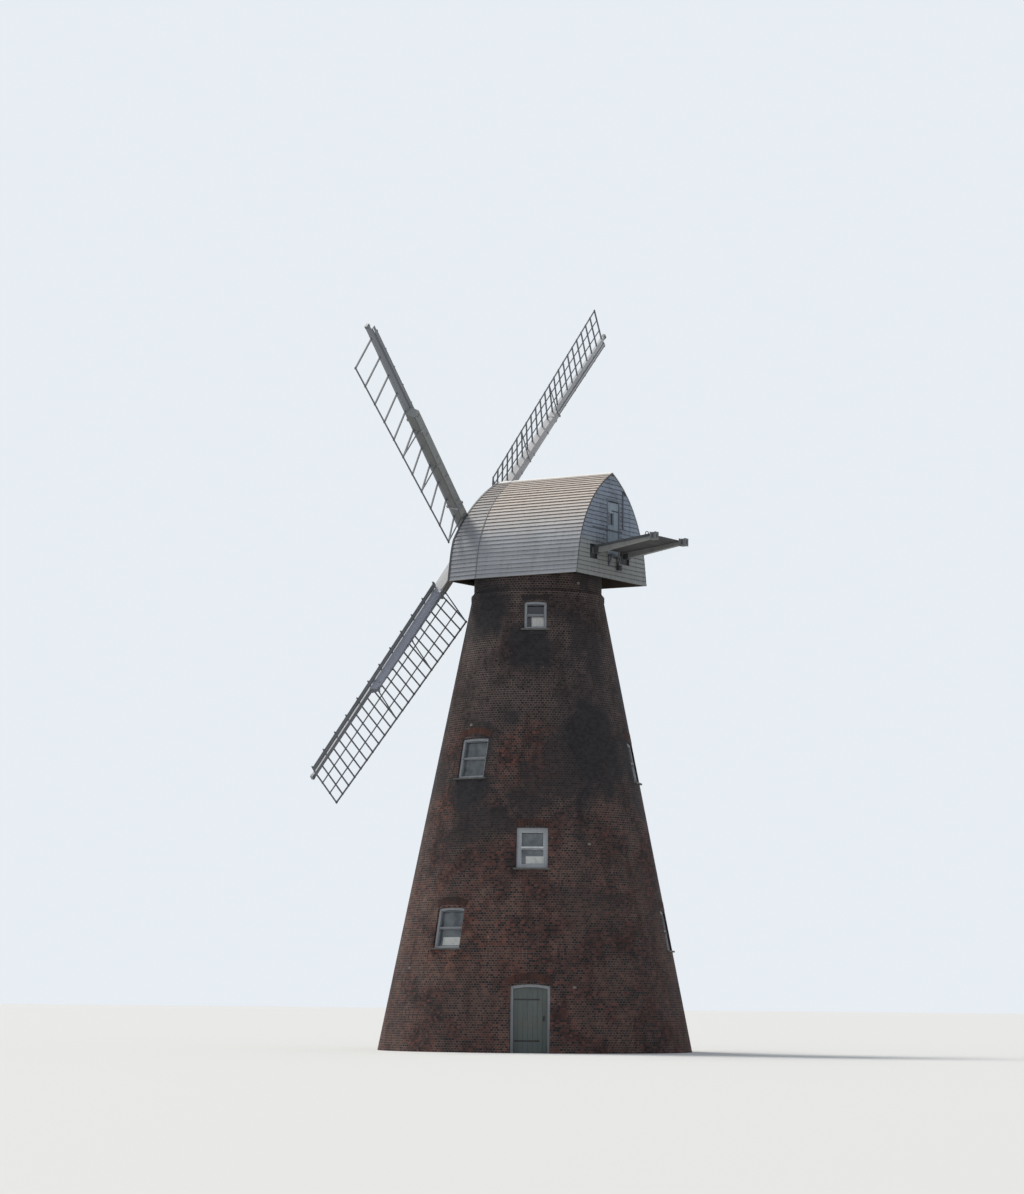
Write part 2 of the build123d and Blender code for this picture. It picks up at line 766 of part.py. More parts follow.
def bar_positions(kind):
    """Distances of the bars from the shaft."""
    pitch = (kind.tip - kind.heel) / (kind.bars - 1)
    return [kind.heel + index * pitch for index in range(kind.bars)]


def sail_bar(kind, along):
    """One bar, from inside the whip to just past the hem."""
    end = sail_point(kind, along, 1.0 + BAR_END / kind.heel_reach)
    return beam(sail_point(kind, along, 0.0), end, kind.bar_width, kind.bar_depth, (1, 0, 0))


def leading_end(kind, along):
    """The bar's other end, which carries the leading board."""
    start = Vector(along, 0, whip_middle(along))
    end = start + Vector(0, whip_edge(along) + LEAD_BOARD_GAP + LEAD_BOARD_WIDTH + BAR_END, 0)
    return beam(start, end, kind.bar_width, kind.bar_depth, (1, 0, 0))


def leading_board(kind):
    """Board behind the bars' ends, with a gap between it and the whip."""
    ends = []
    for along in (kind.heel - kind.bar_width, kind.tip + kind.bar_width):
        y = whip_edge(along) + LEAD_BOARD_GAP + LEAD_BOARD_WIDTH / 2
        ends.append(Vector(along, y, whip_middle(along) - kind.bar_depth / 2))
    return beam(*ends, LEAD_BOARD_WIDTH, LEAD_BOARD_THICKNESS, (0, 1, 0))


def sail_lath(kind, share, width, depth):
    """Lath along the whole sail."""
    middle = (kind.heel + kind.tip) / 2
    across = sail_point(kind, middle, 1.0) - sail_point(kind, middle, 0.0)
    start = sail_point(kind, kind.heel - kind.bar_width, share)
    end = sail_point(kind, kind.tip + kind.bar_width, share)
    return beam(start, end, width, depth, across)


def sail_frame_local(kind):
    """Bars, laths and leading board joined into one lattice, parted by the whip and notched over the stock."""
    rows = bar_positions(kind)
    bars = [sail_bar(kind, along) for along in rows]
    ends = [leading_end(kind, along) for along in rows[:: kind.lead_every]]
    laths = [sail_lath(kind, share, kind.lath_width, kind.lath_depth) for share in kind.laths]
    hem = sail_lath(kind, 1.0, kind.hem_width, kind.hem_depth)
    lattice = bars[0] + [*bars[1:], *ends, *laths, hem, leading_board(kind)]
    return lattice - [whip_local(), stock_local()]


def stock_edge(along):
    """Half width of the stock."""
    return (STOCK_WIDTH + along / STOCK_HALF_LENGTH * (STOCK_TIP_WIDTH - STOCK_WIDTH)) / 2


def stock_back(along):
    """Height of the stock's tapered back over its centre plane."""
    share = along / (STOCK_HALF_LENGTH - STOCK_END_SLANT)
    return share * (STOCK_DEPTH - STOCK_TIP_DEPTH) - STOCK_DEPTH / 2


def backstays(turn, back, kind):
    """Struts from the stock's back to the bars."""
    place = sail_plane(turn, back).location
    rows = bar_positions(kind)
    struts = []
    for index in kind.stays:
        along = rows[index]
        start = Vector(along, STOCK_TIP_WIDTH / 4, stock_back(along))
        end = sail_point(kind, along, 0.97)
        struts.append(place * beam(start, end, kind.bar_width, kind.bar_depth / 2, (1, 0, 0)))
    return struts


def stock_clamps(turn, back):
    """Iron straps round stock and whip, each as wide and deep as the timbers at its place."""
    place = sail_plane(turn, back).location
    straps = []
    for along in CLAMPS_FROM_HUB:
        inner = along - CLAMP_WIDTH / 2
        half = stock_edge(inner) + CLAMP_IRON
        foot = stock_back(inner) - CLAMP_IRON
        top = STOCK_DEPTH / 2 + whip_depth(inner) + CLAMP_IRON
        straps.append(place * block((inner, inner + CLAMP_WIDTH), (-half, half), (foot, top)))
    return straps


def poll_end(stocks):
    """Iron box that holds both stocks."""
    box = block((-POLL_HALF, POLL_HALF), (-POLL_HALF, POLL_HALF), (-POLL_BACK, POLL_FRONT))
    placed = sail_plane(FIRST_SAIL_TURN).location * box
    return placed - stocks


def windshaft():
    """Shaft with its neck and tail journals."""
    neck = (NECK_FROM_HUB - NECK_HALF, NECK_FROM_HUB + NECK_HALF)
    profile = Polygon(
        (0, -POLL_BACK),
        (SHAFT_RADIUS, -POLL_BACK),
        (SHAFT_RADIUS, -neck[0]),
        (NECK_RADIUS, -neck[0]),
        (NECK_RADIUS, -neck[1]),
        (SHAFT_RADIUS, -neck[1]),
        (NECK_RADIUS, -TAIL_JOURNAL_FROM_HUB),
        (TAIL_JOURNAL_RADIUS, -TAIL_JOURNAL_FROM_HUB),
        (TAIL_JOURNAL_RADIUS, -SHAFT_LENGTH),
        (0, -SHAFT_LENGTH),
        align=None,
    )
    return shaft_plane().location * revolve(Plane.XZ * profile, Axis.Z)


# Nodes

def tower_nodes():
    """Everything that stands still."""
    nodes = {f"tower_wall_{index + 1}": wall_stave(index) for index in range(STAVES)}
    nodes["ground_floor"] = floor_disc(GROUND_SLAB, GROUND_SLAB)
    nodes["storey_floors"] = [floor_disc(top, FLOOR_DEPTH) for top in FLOOR_TOPS]
    nodes["curb"] = [curb_segment(index) for index in range(CURB_SEGMENTS)]
    nodes["window_frames"] = [window_frame(window) for window in WINDOWS]
    nodes["window_sills"] = [window_sill(window) for window in WINDOWS]
    nodes["window_glass"] = [pane for window in WINDOWS for pane in window_panes(window)]
    nodes["door_frames"] = [door_frame(door) for door in GROUND_DOORS]
    nodes["door_leaves"] = [door_leaf(door) for door in GROUND_DOORS]
    return nodes


def cap_nodes():
    """Everything that turns with the cap but the sails."""
    side_left, side_right = halves(cap_body() - cap_body(CAP_BOARDS))
    bow_left, bow_right = halves((bow_body() - bow_body(CAP_BOARDS)) & head_prism(0.0))
    bracket, weight = gable_bracket()
    beam_top = SHEERS_FOOT_Z + WEATHER_BEAM_DEPTH
    return {
        "cap_side_left": side_left,
        "cap_side_right": side_right,
        "cap_bow_left": bow_left,
        "cap_bow_right": bow_right,
        "cap_head_wall": head_wall(),
        "cap_tail_wall": tail_wall(),
        "ridge_capping": ridge_capping(),
        "gable_door": gable_door(),
        "gable_pane": gable_pane(),
        "gable_trim": [*gable_trim(), bracket],
        "hanging_weight": weight,
        "sheers": sheers(),
        "cross_beams": cross_beams(),
        "skids": skids(),
        "shaft_bearings": [
            bearing(BEARING_HALF_WIDTH, NECK_BEARING_Y, beam_top, NECK_RADIUS),
            bearing(TAIL_BEARING_HALF_WIDTH, TAIL_BEARING_Y, STEP_BEAM_Z[1], TAIL_JOURNAL_RADIUS),
        ],
        "fan_beams": [fan_beam(x) for x in FAN_BEAMS_X],
        "fan_deck": fan_deck(),
        "fan_post_blocks": post_blocks(),
    }


def sail_nodes():
    """Everything that turns on the windshaft."""
    timber = stock_local()
    outer = sail_plane(FIRST_SAIL_TURN).location * timber
    inner = sail_plane(FIRST_SAIL_TURN - 90.0, INNER_STOCK_BACK).location * timber
    whip = whip_local()
    lattices = {kind.bars: sail_frame_local(kind) for kind in (COMMON_SAIL, OPEN_SAIL)}
    whips = [sail_plane(turn, back).location * whip for turn, back, _ in SAILS]
    frames = [sail_plane(turn, back).location * lattices[kind.bars] for turn, back, kind in SAILS]
    stays = [stay for turn, back, kind in SAILS for stay in backstays(turn, back, kind)]
    stays = [stay - [outer, inner, *frames] for stay in stays]
    clamps = [clamp for turn, back, _ in SAILS for clamp in stock_clamps(turn, back)]
    nodes = {
        "windshaft": windshaft(),
        "poll_end": poll_end([outer, inner]),
        "stock_outer": outer,
        "stock_inner": inner,
        "whips": whips,
        "backstays": stays,
        "stock_clamps": [clamp - [outer, inner, *whips, *frames] for clamp in clamps],
    }
    for index, frame in enumerate(frames):
        nodes[f"sail_frame_{index + 1}"] = frame
    return nodes


def solids_of(shapes):
    """Every solid of a shape or of a list of shapes."""
    listed = shapes if isinstance(shapes, list) else [shapes]
    return [solid for shape in listed for solid in shape.solids()]


os.makedirs("parts", exist_ok=True)
for name, shapes in {**tower_nodes(), **cap_nodes(), **sail_nodes()}.items():
    solids = solids_of(shapes)
    export_step(Compound(children=solids) if len(solids) > 1 else solids[0], f"parts/{name}.step")
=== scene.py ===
"""Looks of the tower mill: brickwork, weatherboards, sashes, worn paint and iron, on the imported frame."""

import random
from math import atan, atan2, copysign, cos, hypot, pi, radians, sin, sqrt

import bpy
from mathutils import Matrix, Vector


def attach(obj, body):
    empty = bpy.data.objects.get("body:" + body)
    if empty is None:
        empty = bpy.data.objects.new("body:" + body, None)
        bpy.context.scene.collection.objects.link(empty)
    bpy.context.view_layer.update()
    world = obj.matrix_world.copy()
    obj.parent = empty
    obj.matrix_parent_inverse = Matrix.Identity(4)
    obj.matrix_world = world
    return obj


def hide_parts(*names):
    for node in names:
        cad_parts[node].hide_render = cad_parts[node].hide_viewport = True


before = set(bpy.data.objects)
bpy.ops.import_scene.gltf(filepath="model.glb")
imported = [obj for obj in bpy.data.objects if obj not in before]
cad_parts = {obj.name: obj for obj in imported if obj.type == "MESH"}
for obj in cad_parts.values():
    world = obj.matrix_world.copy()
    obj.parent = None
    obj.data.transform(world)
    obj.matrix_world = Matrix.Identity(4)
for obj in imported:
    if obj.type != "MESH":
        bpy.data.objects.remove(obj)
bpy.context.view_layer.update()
chance = random.Random(11)


# Node graphs

def operator(operation):
    """Method that joins two values in a math node."""
    return lambda value, other: value.graph.math(operation, value, other)


class Value:
    """Output of a node, which takes part in sums with numbers and other outputs."""

    __add__, __sub__, __mul__, __truediv__ = map(operator, ("ADD", "SUBTRACT", "MULTIPLY", "DIVIDE"))

    def __init__(self, graph, socket):
        self.graph, self.socket = graph, socket

    def __rsub__(self, other):
        return self.graph.math("SUBTRACT", other, self)


class Graph:
    """A material's node tree with short calls for its nodes."""

    def __init__(self, name):
        self.material = bpy.data.materials.new(name)
        self.material.use_nodes = True
        self.tree = self.material.node_tree
        self.tree.nodes.clear()
        self.coords = self.value("Object", "ShaderNodeTexCoord")
        self.height = self.split(self.coords)[2]

    def put(self, socket, value):
        """Link or set an input; a colour gets its alpha."""
        if isinstance(value, Value):
            self.tree.links.new(value.socket, socket)
        else:
            socket.default_value = (*value, 1.0) if socket.type == "RGBA" else value

    def node(self, kind, inputs=None, **settings):
        """New node, with its inputs by number or name."""
        node = self.tree.nodes.new(kind)
        for key, value in settings.items():
            setattr(node, key, value)
        for key, value in (inputs or {}).items():
            self.put(node.inputs[key], value)
        return node

    def value(self, output, kind, inputs=None, **settings):
        return Value(self, self.node(kind, inputs, **settings).outputs[output])

    def math(self, operation, *values):
        return self.value(0, "ShaderNodeMath", dict(enumerate(values)), operation=operation)

    def most(self, top, *others):
        """Greatest of several values."""
        for other in others:
            top = self.math("MAXIMUM", top, other)
        return top

    def edge(self, value):
        """Distance to the nearest whole number."""
        part = self.math("FRACT", value)
        return self.math("MINIMUM", part, 1.0 - part)

    def split(self, vector):
        return [Value(self, socket) for socket in self.node("ShaderNodeSeparateXYZ", {0: vector}).outputs]

    def stretch(self, *scales):
        """Coordinates scaled along each axis."""
        return self.value(0, "ShaderNodeVectorMath", {0: self.coords, 1: scales}, operation="MULTIPLY")

    def measure(self, operation, point):
        """Distance of the coordinates from a point, or their dot product with it."""
        return self.value("Value", "ShaderNodeVectorMath", {0: self.coords, 1: point}, operation=operation)

    def noise(self, scale, detail, rough=0.55, vector=None):
        inputs = {"Vector": vector or self.coords, "Scale": scale, "Detail": detail, "Roughness": rough}
        return self.value("Fac", "ShaderNodeTexNoise", inputs)

    def white(self, x, y, z):
        """Random value of a cell."""
        cell = self.value(0, "ShaderNodeCombineXYZ", {0: x, 1: y, 2: z})
        return self.value("Value", "ShaderNodeTexWhiteNoise", {"Vector": cell}, noise_dimensions="3D")

    def attribute(self, name):
        return self.value("Fac", "ShaderNodeAttribute", attribute_name=name)

    def span(self, value, low, high, to_low=0.0, to_high=1.0):
        """Value moved from one span to another, and kept within it."""
        return self.value(0, "ShaderNodeMapRange", dict(enumerate((value, low, high, to_low, to_high))),
                          clamp=True)

    def mix(self, share, a, b):
        return self.value(2, "ShaderNodeMix", {0: share, 6: a, 7: b}, data_type="RGBA")

    def bump(self, height, strength, distance):
        return self.value("Normal", "ShaderNodeBump",
                          {"Strength": strength, "Distance": distance, "Height": height})

    def surface(self, colour, rough, normal=None, metal=0.0, shine=0.5):
        """The material with its finished surface."""
        shader = self.node("ShaderNodeBsdfPrincipled", {"Base Color": colour, "Roughness": rough,
                                                       "Metallic": metal, "Specular IOR Level": shine})
        if normal:
            self.put(shader.inputs["Normal"], normal)
        self.node("ShaderNodeOutputMaterial", {"Surface": Value(self, shader.outputs[0])})
        return self.material


def shade(colour, share):
    """Darker or lighter colour."""
    return tuple(min(1.0, c * share) for c in colour)


# Materials

HUB = Vector((0, -2.735, 16.81))
RISE = radians(12.0)
AXIS = Vector((0, -cos(RISE), sin(RISE)))
UPWARD = Vector((0, sin(RISE), cos(RISE)))


def sail_arm(turn):
    """Direction of a sail at a turn from upright."""
    angle = radians(turn)
    return UPWARD * cos(angle) + AXIS.cross(UPWARD) * sin(angle)


# The sunlit arm: its stock sheds most of its painted shade from this far out and over this length, and its
# leading board has a painted sheen
SUNLIT_TURN = 37.0
SUNLIT_ARM = sail_arm(SUNLIT_TURN)
SUNLIT_START, SUNLIT_BLEND = 1.0, 0.4
CLAMPED = (1.95, 2.15)  # from the hub, where the stocks' pale inner paint ends and a darker colour, painted shade, begins except on the sunlit arm

COURSE, HEADER, JOINT = 0.075, 0.1125, 0.0062
SECTORS = 24
RED_HEIGHTS, BROWN_HEIGHTS, TAR_HEIGHTS = (13.6, 8.5), (14.5, 8.5), (2.5, 7.5)
# Patches: direction in degrees, height, half width in degrees, half height
TARRED = ((-13.0, 14.4, 20.0, 1.0), (28.0, 13.1, 17.0, 0.9), (66.0, 9.9, 22.0, 1.9), (-7.0, 8.4, 14.0, 0.7))
REDDENED = ((-28.0, 8.6, 15.0, 1.9), (27.0, 9.3, 20.0, 1.4), (-4.0, 3.4, 40.0, 1.6))
# Heights over which the gable boards turn to their own colour toward the cap's foot
FOOT_TONE_HEIGHTS = (16.9, 16.3)
CURTAINED, SOOTED_ARCHES, RED_ARCHES = (12.6, 10.2), (12.6, 13.6), (13.0, 10.0)


def soft_patches(g, angle, warp, spots):
    """Soft patches round directions and heights, and once more on the far side."""
    patches = []
    for turn, height, spread, reach in spots:
        away = angle - radians(turn)
        away = away - g.math("ROUND", away / pi) * pi
        across = g.math("POWER", away / radians(spread), 2.0)
        up = g.math("POWER", (g.height - height) / reach, 2.0)
        patches.append(g.span(g.math("SQRT", across + up) + warp, 1.25, 0.65))
    return g.most(*patches)


def brick_material():
    """Header bond in courses round the tower, tarred dark above and bare red below."""
    g = Graph("brickwork")
    x, y, z = g.split(g.coords)
    angle = g.math("ARCTAN2", y, x)
    radius = g.math("SQRT", x * x + y * y)
    course = g.math("FLOOR", z / COURSE)
    step = 2 * pi / SECTORS
    sector = g.math("FLOOR", (angle + g.white(course, 3.0, 7.0) * 0.12) / step)
    along = (angle - (sector + 0.5) * step) * radius
    bond = along / HEADER + g.math("MODULO", course, 2.0) * 0.5
    depth = g.math("MINIMUM", g.edge(bond + 100.0) * HEADER, g.edge(z / COURSE) * COURSE)
    brick = g.span(depth + (g.noise(30.0, 2.0) - 0.5) * 0.004, JOINT * 0.7, JOINT * 1.6)
    cell = g.math("FLOOR", bond)
    tint = g.white(cell, course, sector)
    second = g.white(course, cell, sector)

    broad = g.noise(0.36, 5.0, 0.62)
    patchy = g.noise(1.3, 4.0, 0.6)
    weather = g.noise(0.75, 4.0, 0.65)
    warp = (patchy - 0.5) * 1.8
    pick = second * 0.5 + patchy * 0.8
    height = z + broad * 7.0
    reddened = soft_patches(g, angle, warp, REDDENED)
    bare = g.most(g.span(height, *RED_HEIGHTS, 0.08, 0.7), reddened * 0.9) * g.span(pick, 0.45, 0.85)
    colour = g.mix(bare, g.mix(second, (0.019, 0.016, 0.0175), (0.066, 0.05, 0.049)),
                   g.mix(tint, (0.048, 0.021, 0.018), (0.195, 0.07, 0.052)))
    brown = g.span(weather, 0.5, 0.62) * g.span(height, *BROWN_HEIGHTS)
    colour = g.mix(brown * g.span(pick, 0.45, 0.7, 0.2, 0.6), colour,
                   g.mix(tint, (0.07, 0.047, 0.038), (0.175, 0.108, 0.082)))
    mortar = g.mix(bare, (0.185, 0.15, 0.137), (0.195, 0.13, 0.108))
    mortar = g.mix(g.span(weather, 0.36, 0.54, 0.85, 0.0), mortar, (0.024, 0.021, 0.022))
    colour = g.mix(brick, mortar, colour)
    tarred = g.span(broad + patchy * 0.25, 0.6, 0.7) * g.span(z, *TAR_HEIGHTS, 0.2, 0.8)
    tarred = g.most(tarred, soft_patches(g, angle, warp, TARRED))
    colour = g.mix(tarred * 0.92, colour, g.mix(tint, (0.019, 0.0185, 0.021), (0.034, 0.032, 0.036)))
    pale = g.math("GREATER_THAN", second + patchy * 0.02, 1.0105)
    colour = g.mix(pale * 0.5, colour, (0.34, 0.31, 0.28))
    streak = g.noise(1.0, 4.0, 0.6, g.stretch(2.6, 2.6, 0.18))
    colour = g.mix(g.span(streak, 0.5, 0.75, 0.0, 0.45), colour, (0.014, 0.013, 0.014))
    face = brick * 0.6 + g.noise(55.0, 3.0) * 0.25 + second * 0.3
    return g.surface(colour, g.span(tarred, 0.0, 1.0, 0.92, 0.78), g.bump(face, 0.85, 0.012), shine=0.15)


def paint(name, colour, worn, dirt_and_shade, wear, grain=(1.0, 8.0, 8.0), lap_shadow_and_grime=0.0, high=None, back=0.0, specks=0.35,
          outer=None, foot=None):
    """Paint on timber: brush marks, dirt in streaks and specks, worn places that show the wood.

    laps darkens the line where each board goes under the next, partly as grime and partly as painted shadow, and
    makes each board darker along its lower edge; high gives the heights where they wear bare and, toward the
    ridge, adds a painted highlight on the boards' faces and heavier painted shadow lines; back paints shade on
    the sails' rear faces and undersides, less on the sunlit arm; outer gives a stock a darker colour beyond its
    clamps as painted shade, none on the sunlit arm, and darker undersides, less on the sunlit arm; foot gives
    the boards near the cap's foot their own colour.
    """
    g = Graph(name)
    fibres = g.noise(6.0, 4.0, 0.6, g.stretch(*grain))
    broad = g.noise(0.9, 4.0, 0.6)
    fine = g.noise(14.0, 4.0, 0.65)
    streak = g.noise(2.2, 4.0, 0.6, g.stretch(3.0, 3.0, 0.35))
    tone = g.mix(g.span(broad, 0.3, 0.7), shade(colour, 0.88), shade(colour, 1.06))
    if lap_shadow_and_grime:
        tone = g.mix(g.attribute("tint") * 0.4, tone, shade(colour, 0.62))
    amount = g.span(broad * 0.5 + fibres * 0.5, 0.66 - 0.22 * wear, 0.74 - 0.14 * wear)
    if high:
        near = g.span(g.height + (fine - 0.5) * 0.9, *high)
        amount = g.most(amount * 0.6, near * g.span(fibres, 0.25, 0.6))
    tone = g.mix(amount * 0.75, tone, worn)
    if foot:
        tone = g.mix(g.span(g.height + (fine - 0.5) * 0.6, *FOOT_TONE_HEIGHTS), tone, foot)
    tone = g.mix(g.span(streak, 0.52, 0.8, 0.0, 0.5), tone, dirt_and_shade)
    tone = g.mix(g.span(fine, 0.56, 0.8, 0.0, specks), tone, dirt_and_shade)
    # Painted shade on the rear faces and undersides of the sails' timbers, less on the sunlit arm
    if back:
        _, towards_y, towards_z = g.split(g.value("Normal", "ShaderNodeTexCoord"))
        start = HUB.dot(SUNLIT_ARM) + SUNLIT_START
        out_of_sun = g.span(g.measure("DOT_PRODUCT", SUNLIT_ARM), start, start + SUNLIT_BLEND, 1.0, 0.3)
        shaded_faces = g.most(g.span(towards_y, 0.6, 0.95), g.span(towards_z, -0.35, -0.7))
        tone = g.mix(shaded_faces * out_of_sun * back, tone, dirt_and_shade)
    # A line where each board goes under the next, darkened partly as grime and partly as painted shadow
    if lap_shadow_and_grime:
        up = g.attribute("up") + (fine - 0.5) * 0.12
        uneven = g.span(streak, 0.3, 0.6, 0.6, 1.1)
        if high:
            # Toward the ridge, a painted highlight on each board's lower face and a wider, darker painted shadow
            # line
            bare = g.span(g.height, high[0] - 0.3, high[1] - 0.2)
            tone = g.mix(bare * g.span(up, 0.5, 0.3, 0.0, 0.75), tone, shade(worn, 1.55))
            line = uneven * g.span(up + bare * 0.26, 0.7, 0.8, 0.0, lap_shadow_and_grime) * g.span(bare, 0.0, 1.0, 0.6, 1.0)
        else:
            line = uneven * g.span(up, 0.7, 0.8, 0.0, lap_shadow_and_grime)
        tone = g.mix(line, tone, shade(dirt_and_shade, 0.35))
        # Darker along each board's lower edge
        tone = g.mix(g.span(up, 0.05, 0.0, 0.0, 0.35 * lap_shadow_and_grime), tone, dirt_and_shade)
    # Painted shade on the stocks: a darker colour beyond the clamps, none on the sunlit arm, and darker
    # undersides, less on it
    if outer:
        shaded_beyond = g.span(g.measure("DISTANCE", HUB), *CLAMPED, 0.0, 0.85) * g.span(out_of_sun, 0.3, 1.0)
        tone = g.mix(shaded_beyond, tone, g.mix(broad, shade(outer, 0.88), shade(outer, 1.12)))
        under = g.span(towards_z, -0.35, -0.7, 0.0, 0.8) * out_of_sun
        tone = g.mix(under, tone, shade(outer, 0.45))
    return g.surface(tone, g.span(amount, 0.0, 1.0, 0.62, 0.88), g.bump(fibres * 0.6 + fine * 0.4, 0.35, 0.004))


def iron_material(name, colour, rust):
    """Cast or wrought iron with dull paint and some rust."""
    g = Graph(name)
    broad = g.noise(3.0, 5.0, 0.65)
    fine = g.noise(40.0, 4.0, 0.6)
    tone = g.mix(g.span(broad, 0.48, 0.66), colour, rust)
    tone = g.mix(g.span(fine, 0.55, 0.8, 0.0, 0.5), tone, (0.02, 0.02, 0.02))
    normal = g.bump(fine + broad * 0.5, 0.4, 0.003)
    return g.surface(tone, g.span(broad, 0.4, 0.7, 0.5, 0.85), normal, metal=0.35)


def stone_material(name, low, high, flakes):
    """Weathered stone with pale flakes of paint."""
    g = Graph(name)
    fine = g.noise(26.0, 4.0, 0.7)
    tone = g.mix(g.noise(3.0, 5.0, 0.6), low, high)
    tone = g.mix(g.span(fine, 0.6, 0.66, 0.0, 0.7), tone, flakes)
    return g.surface(tone, 0.85, g.bump(fine, 0.4, 0.004))


def glass_material():
    """Old window glass, dark at the top of the mill and with curtains behind it lower down."""
    g = Graph("window_glass")
    ripple = g.noise(2.6, 3.0)
    clear = g.mix(ripple, (0.004, 0.006, 0.014), (0.016, 0.019, 0.03))
    curtain = g.mix(g.span(ripple, 0.35, 0.6), (0.05, 0.06, 0.075), (0.125, 0.14, 0.155))
    return g.surface(g.mix(g.span(g.height, *CURTAINED), clear, curtain), 0.12, g.bump(ripple, 0.08, 0.01))


def blind_material():
    """Pale roller blind, stained below."""
    g = Graph("pale_blind")
    weave = g.noise(90.0, 2.0, vector=g.stretch(1.0, 1.0, 6.0))
    stain = g.noise(9.0, 4.0, 0.7)
    tone = g.mix(weave, (0.5, 0.51, 0.49), (0.68, 0.69, 0.66))
    tone = g.mix(g.span(stain, 0.5, 0.7, 0.0, 0.6), tone, (0.24, 0.24, 0.23))
    return g.surface(tone, 0.9, g.bump(weave, 0.2, 0.002))


def plank_material(name, low, high, width, axis):
    """Bare boards with dark joints, each its own tone."""
    g = Graph(name)
    count = g.split(g.coords)[axis] / width
    gap = g.span(g.edge(count + 100.0), 0.01, 0.05)
    fibres = g.noise(7.0, 5.0, 0.6, g.stretch(9.0, 1.2, 9.0) if axis == 0 else g.stretch(1.2, 9.0, 9.0))
    own = g.white(g.math("FLOOR", count), 1.0, 2.0)
    tone = g.mix(gap, shade(low, 0.25), g.mix((own + fibres) * 0.5, low, high))
    return g.surface(tone, 0.85, g.bump(gap * 0.7 + fibres * 0.3, 0.5, 0.006))


def arch_material():
    """Gauged bricks, each its own tone."""
    g = Graph("arch_brick")
    tone = g.mix(g.attribute("tint"), (0.032, 0.022, 0.021), (0.095, 0.05, 0.04))
    tone = g.mix(g.span(g.height, *RED_ARCHES, 0.0, 0.25), tone, (0.12, 0.045, 0.034))
    tone = g.mix(g.span(g.noise(1.1, 4.0), 0.42, 0.6, 0.0, 0.85), tone, (0.03, 0.026, 0.025))
    tone = g.mix(g.span(g.height, *SOOTED_ARCHES, 0.0, 0.8), tone, (0.03, 0.028, 0.03))
    return g.surface(tone, 0.9, g.bump(g.noise(70.0, 3.0), 0.5, 0.005), shine=0.15)


# Directions of the grain, as scales of its noise
ALONG, ACROSS, UPRIGHT, EVEN = (8.0, 0.7, 8.0), (0.8, 8.0, 9.0), (9.0, 9.0, 0.8), (2.0, 2.0, 2.0)

BRICK = brick_material()
ARCH_BRICK = arch_material()
# Weatherboards: lap lines partly grime and partly painted shadow; near the ridge, wear and a painted highlight
WHITE_BOARDS = paint("white_weatherboard", (0.335, 0.35, 0.38), (0.45, 0.38, 0.33), (0.18, 0.175, 0.165),
                     0.3, ALONG, lap_shadow_and_grime=0.9, high=(17.0, 18.3))
BOW_BOARDS = paint("bow_weatherboard", (0.295, 0.31, 0.34), (0.27, 0.24, 0.225), (0.17, 0.165, 0.16),
                   0.3, ALONG, lap_shadow_and_grime=0.9, high=(17.2, 18.6))
GABLE_BOARDS = paint("gable_weatherboard", (0.285, 0.34, 0.43), (0.125, 0.135, 0.15), (0.045, 0.05, 0.056),
                     0.9, ACROSS, lap_shadow_and_grime=0.85, specks=0.75, foot=(0.235, 0.245, 0.24))
HEAD_BOARDS = paint("head_weatherboard", (0.21, 0.235, 0.25), (0.12, 0.12, 0.12), (0.065, 0.07, 0.075),
                    0.7, ACROSS, lap_shadow_and_grime=0.6)
LATTICE = paint("lattice_paint", (0.125, 0.14, 0.16), (0.1, 0.095, 0.09), (0.06, 0.062, 0.066),
                0.4, (3.0, 3.0, 3.0))
# Sail timbers: back paints shade on rear faces and undersides, outer a darker colour beyond the stocks' clamps
# as painted shade
WHIP = paint("whip_paint", (0.5, 0.51, 0.53), (0.4, 0.4, 0.4), (0.185, 0.2, 0.225), 0.2, EVEN,
             back=0.95, specks=0.08)
STOCK = paint("stock_paint", (0.48, 0.48, 0.5), (0.36, 0.34, 0.3), (0.215, 0.2, 0.175), 0.3, EVEN,
              back=0.9, specks=0.2, outer=(0.285, 0.31, 0.378))
INNER_STOCK = paint("inner_stock_paint", (0.44, 0.44, 0.43), (0.36, 0.34, 0.3), (0.34, 0.34, 0.315), 0.4,
                    EVEN, back=0.9, specks=0.3, outer=(0.222, 0.235, 0.238))
# The leading boards' facing in two copies of one paint: darker on the sails out of the sun, paler as a painted
# sheen on the sunlit arm
BOARD = paint("lead_board_paint", (0.21, 0.225, 0.25), (0.16, 0.155, 0.15), (0.12, 0.125, 0.14), 0.3, EVEN)
SUNLIT_BOARD = paint("sunlit_board_painted_sheen", (0.44, 0.44, 0.46), (0.34, 0.33, 0.32), (0.2, 0.2, 0.21), 0.3, EVEN)
# Near-black: the hanging weight's own black paint, and painted shade on the tail wall inside the cap and in the
# gable's sockets
BLACK_AND_SHADE = paint("black_paint_and_shade", (0.026, 0.031, 0.038), (0.04, 0.043, 0.048), (0.014, 0.015, 0.017), 0.4)
GREY = paint("weathered_grey_paint", (0.25, 0.265, 0.27), (0.18, 0.165, 0.14), (0.07, 0.07, 0.07), 0.7)
FRAME = paint("window_frame_paint", (0.34, 0.36, 0.385), (0.25, 0.24, 0.23), (0.12, 0.12, 0.125), 0.4)
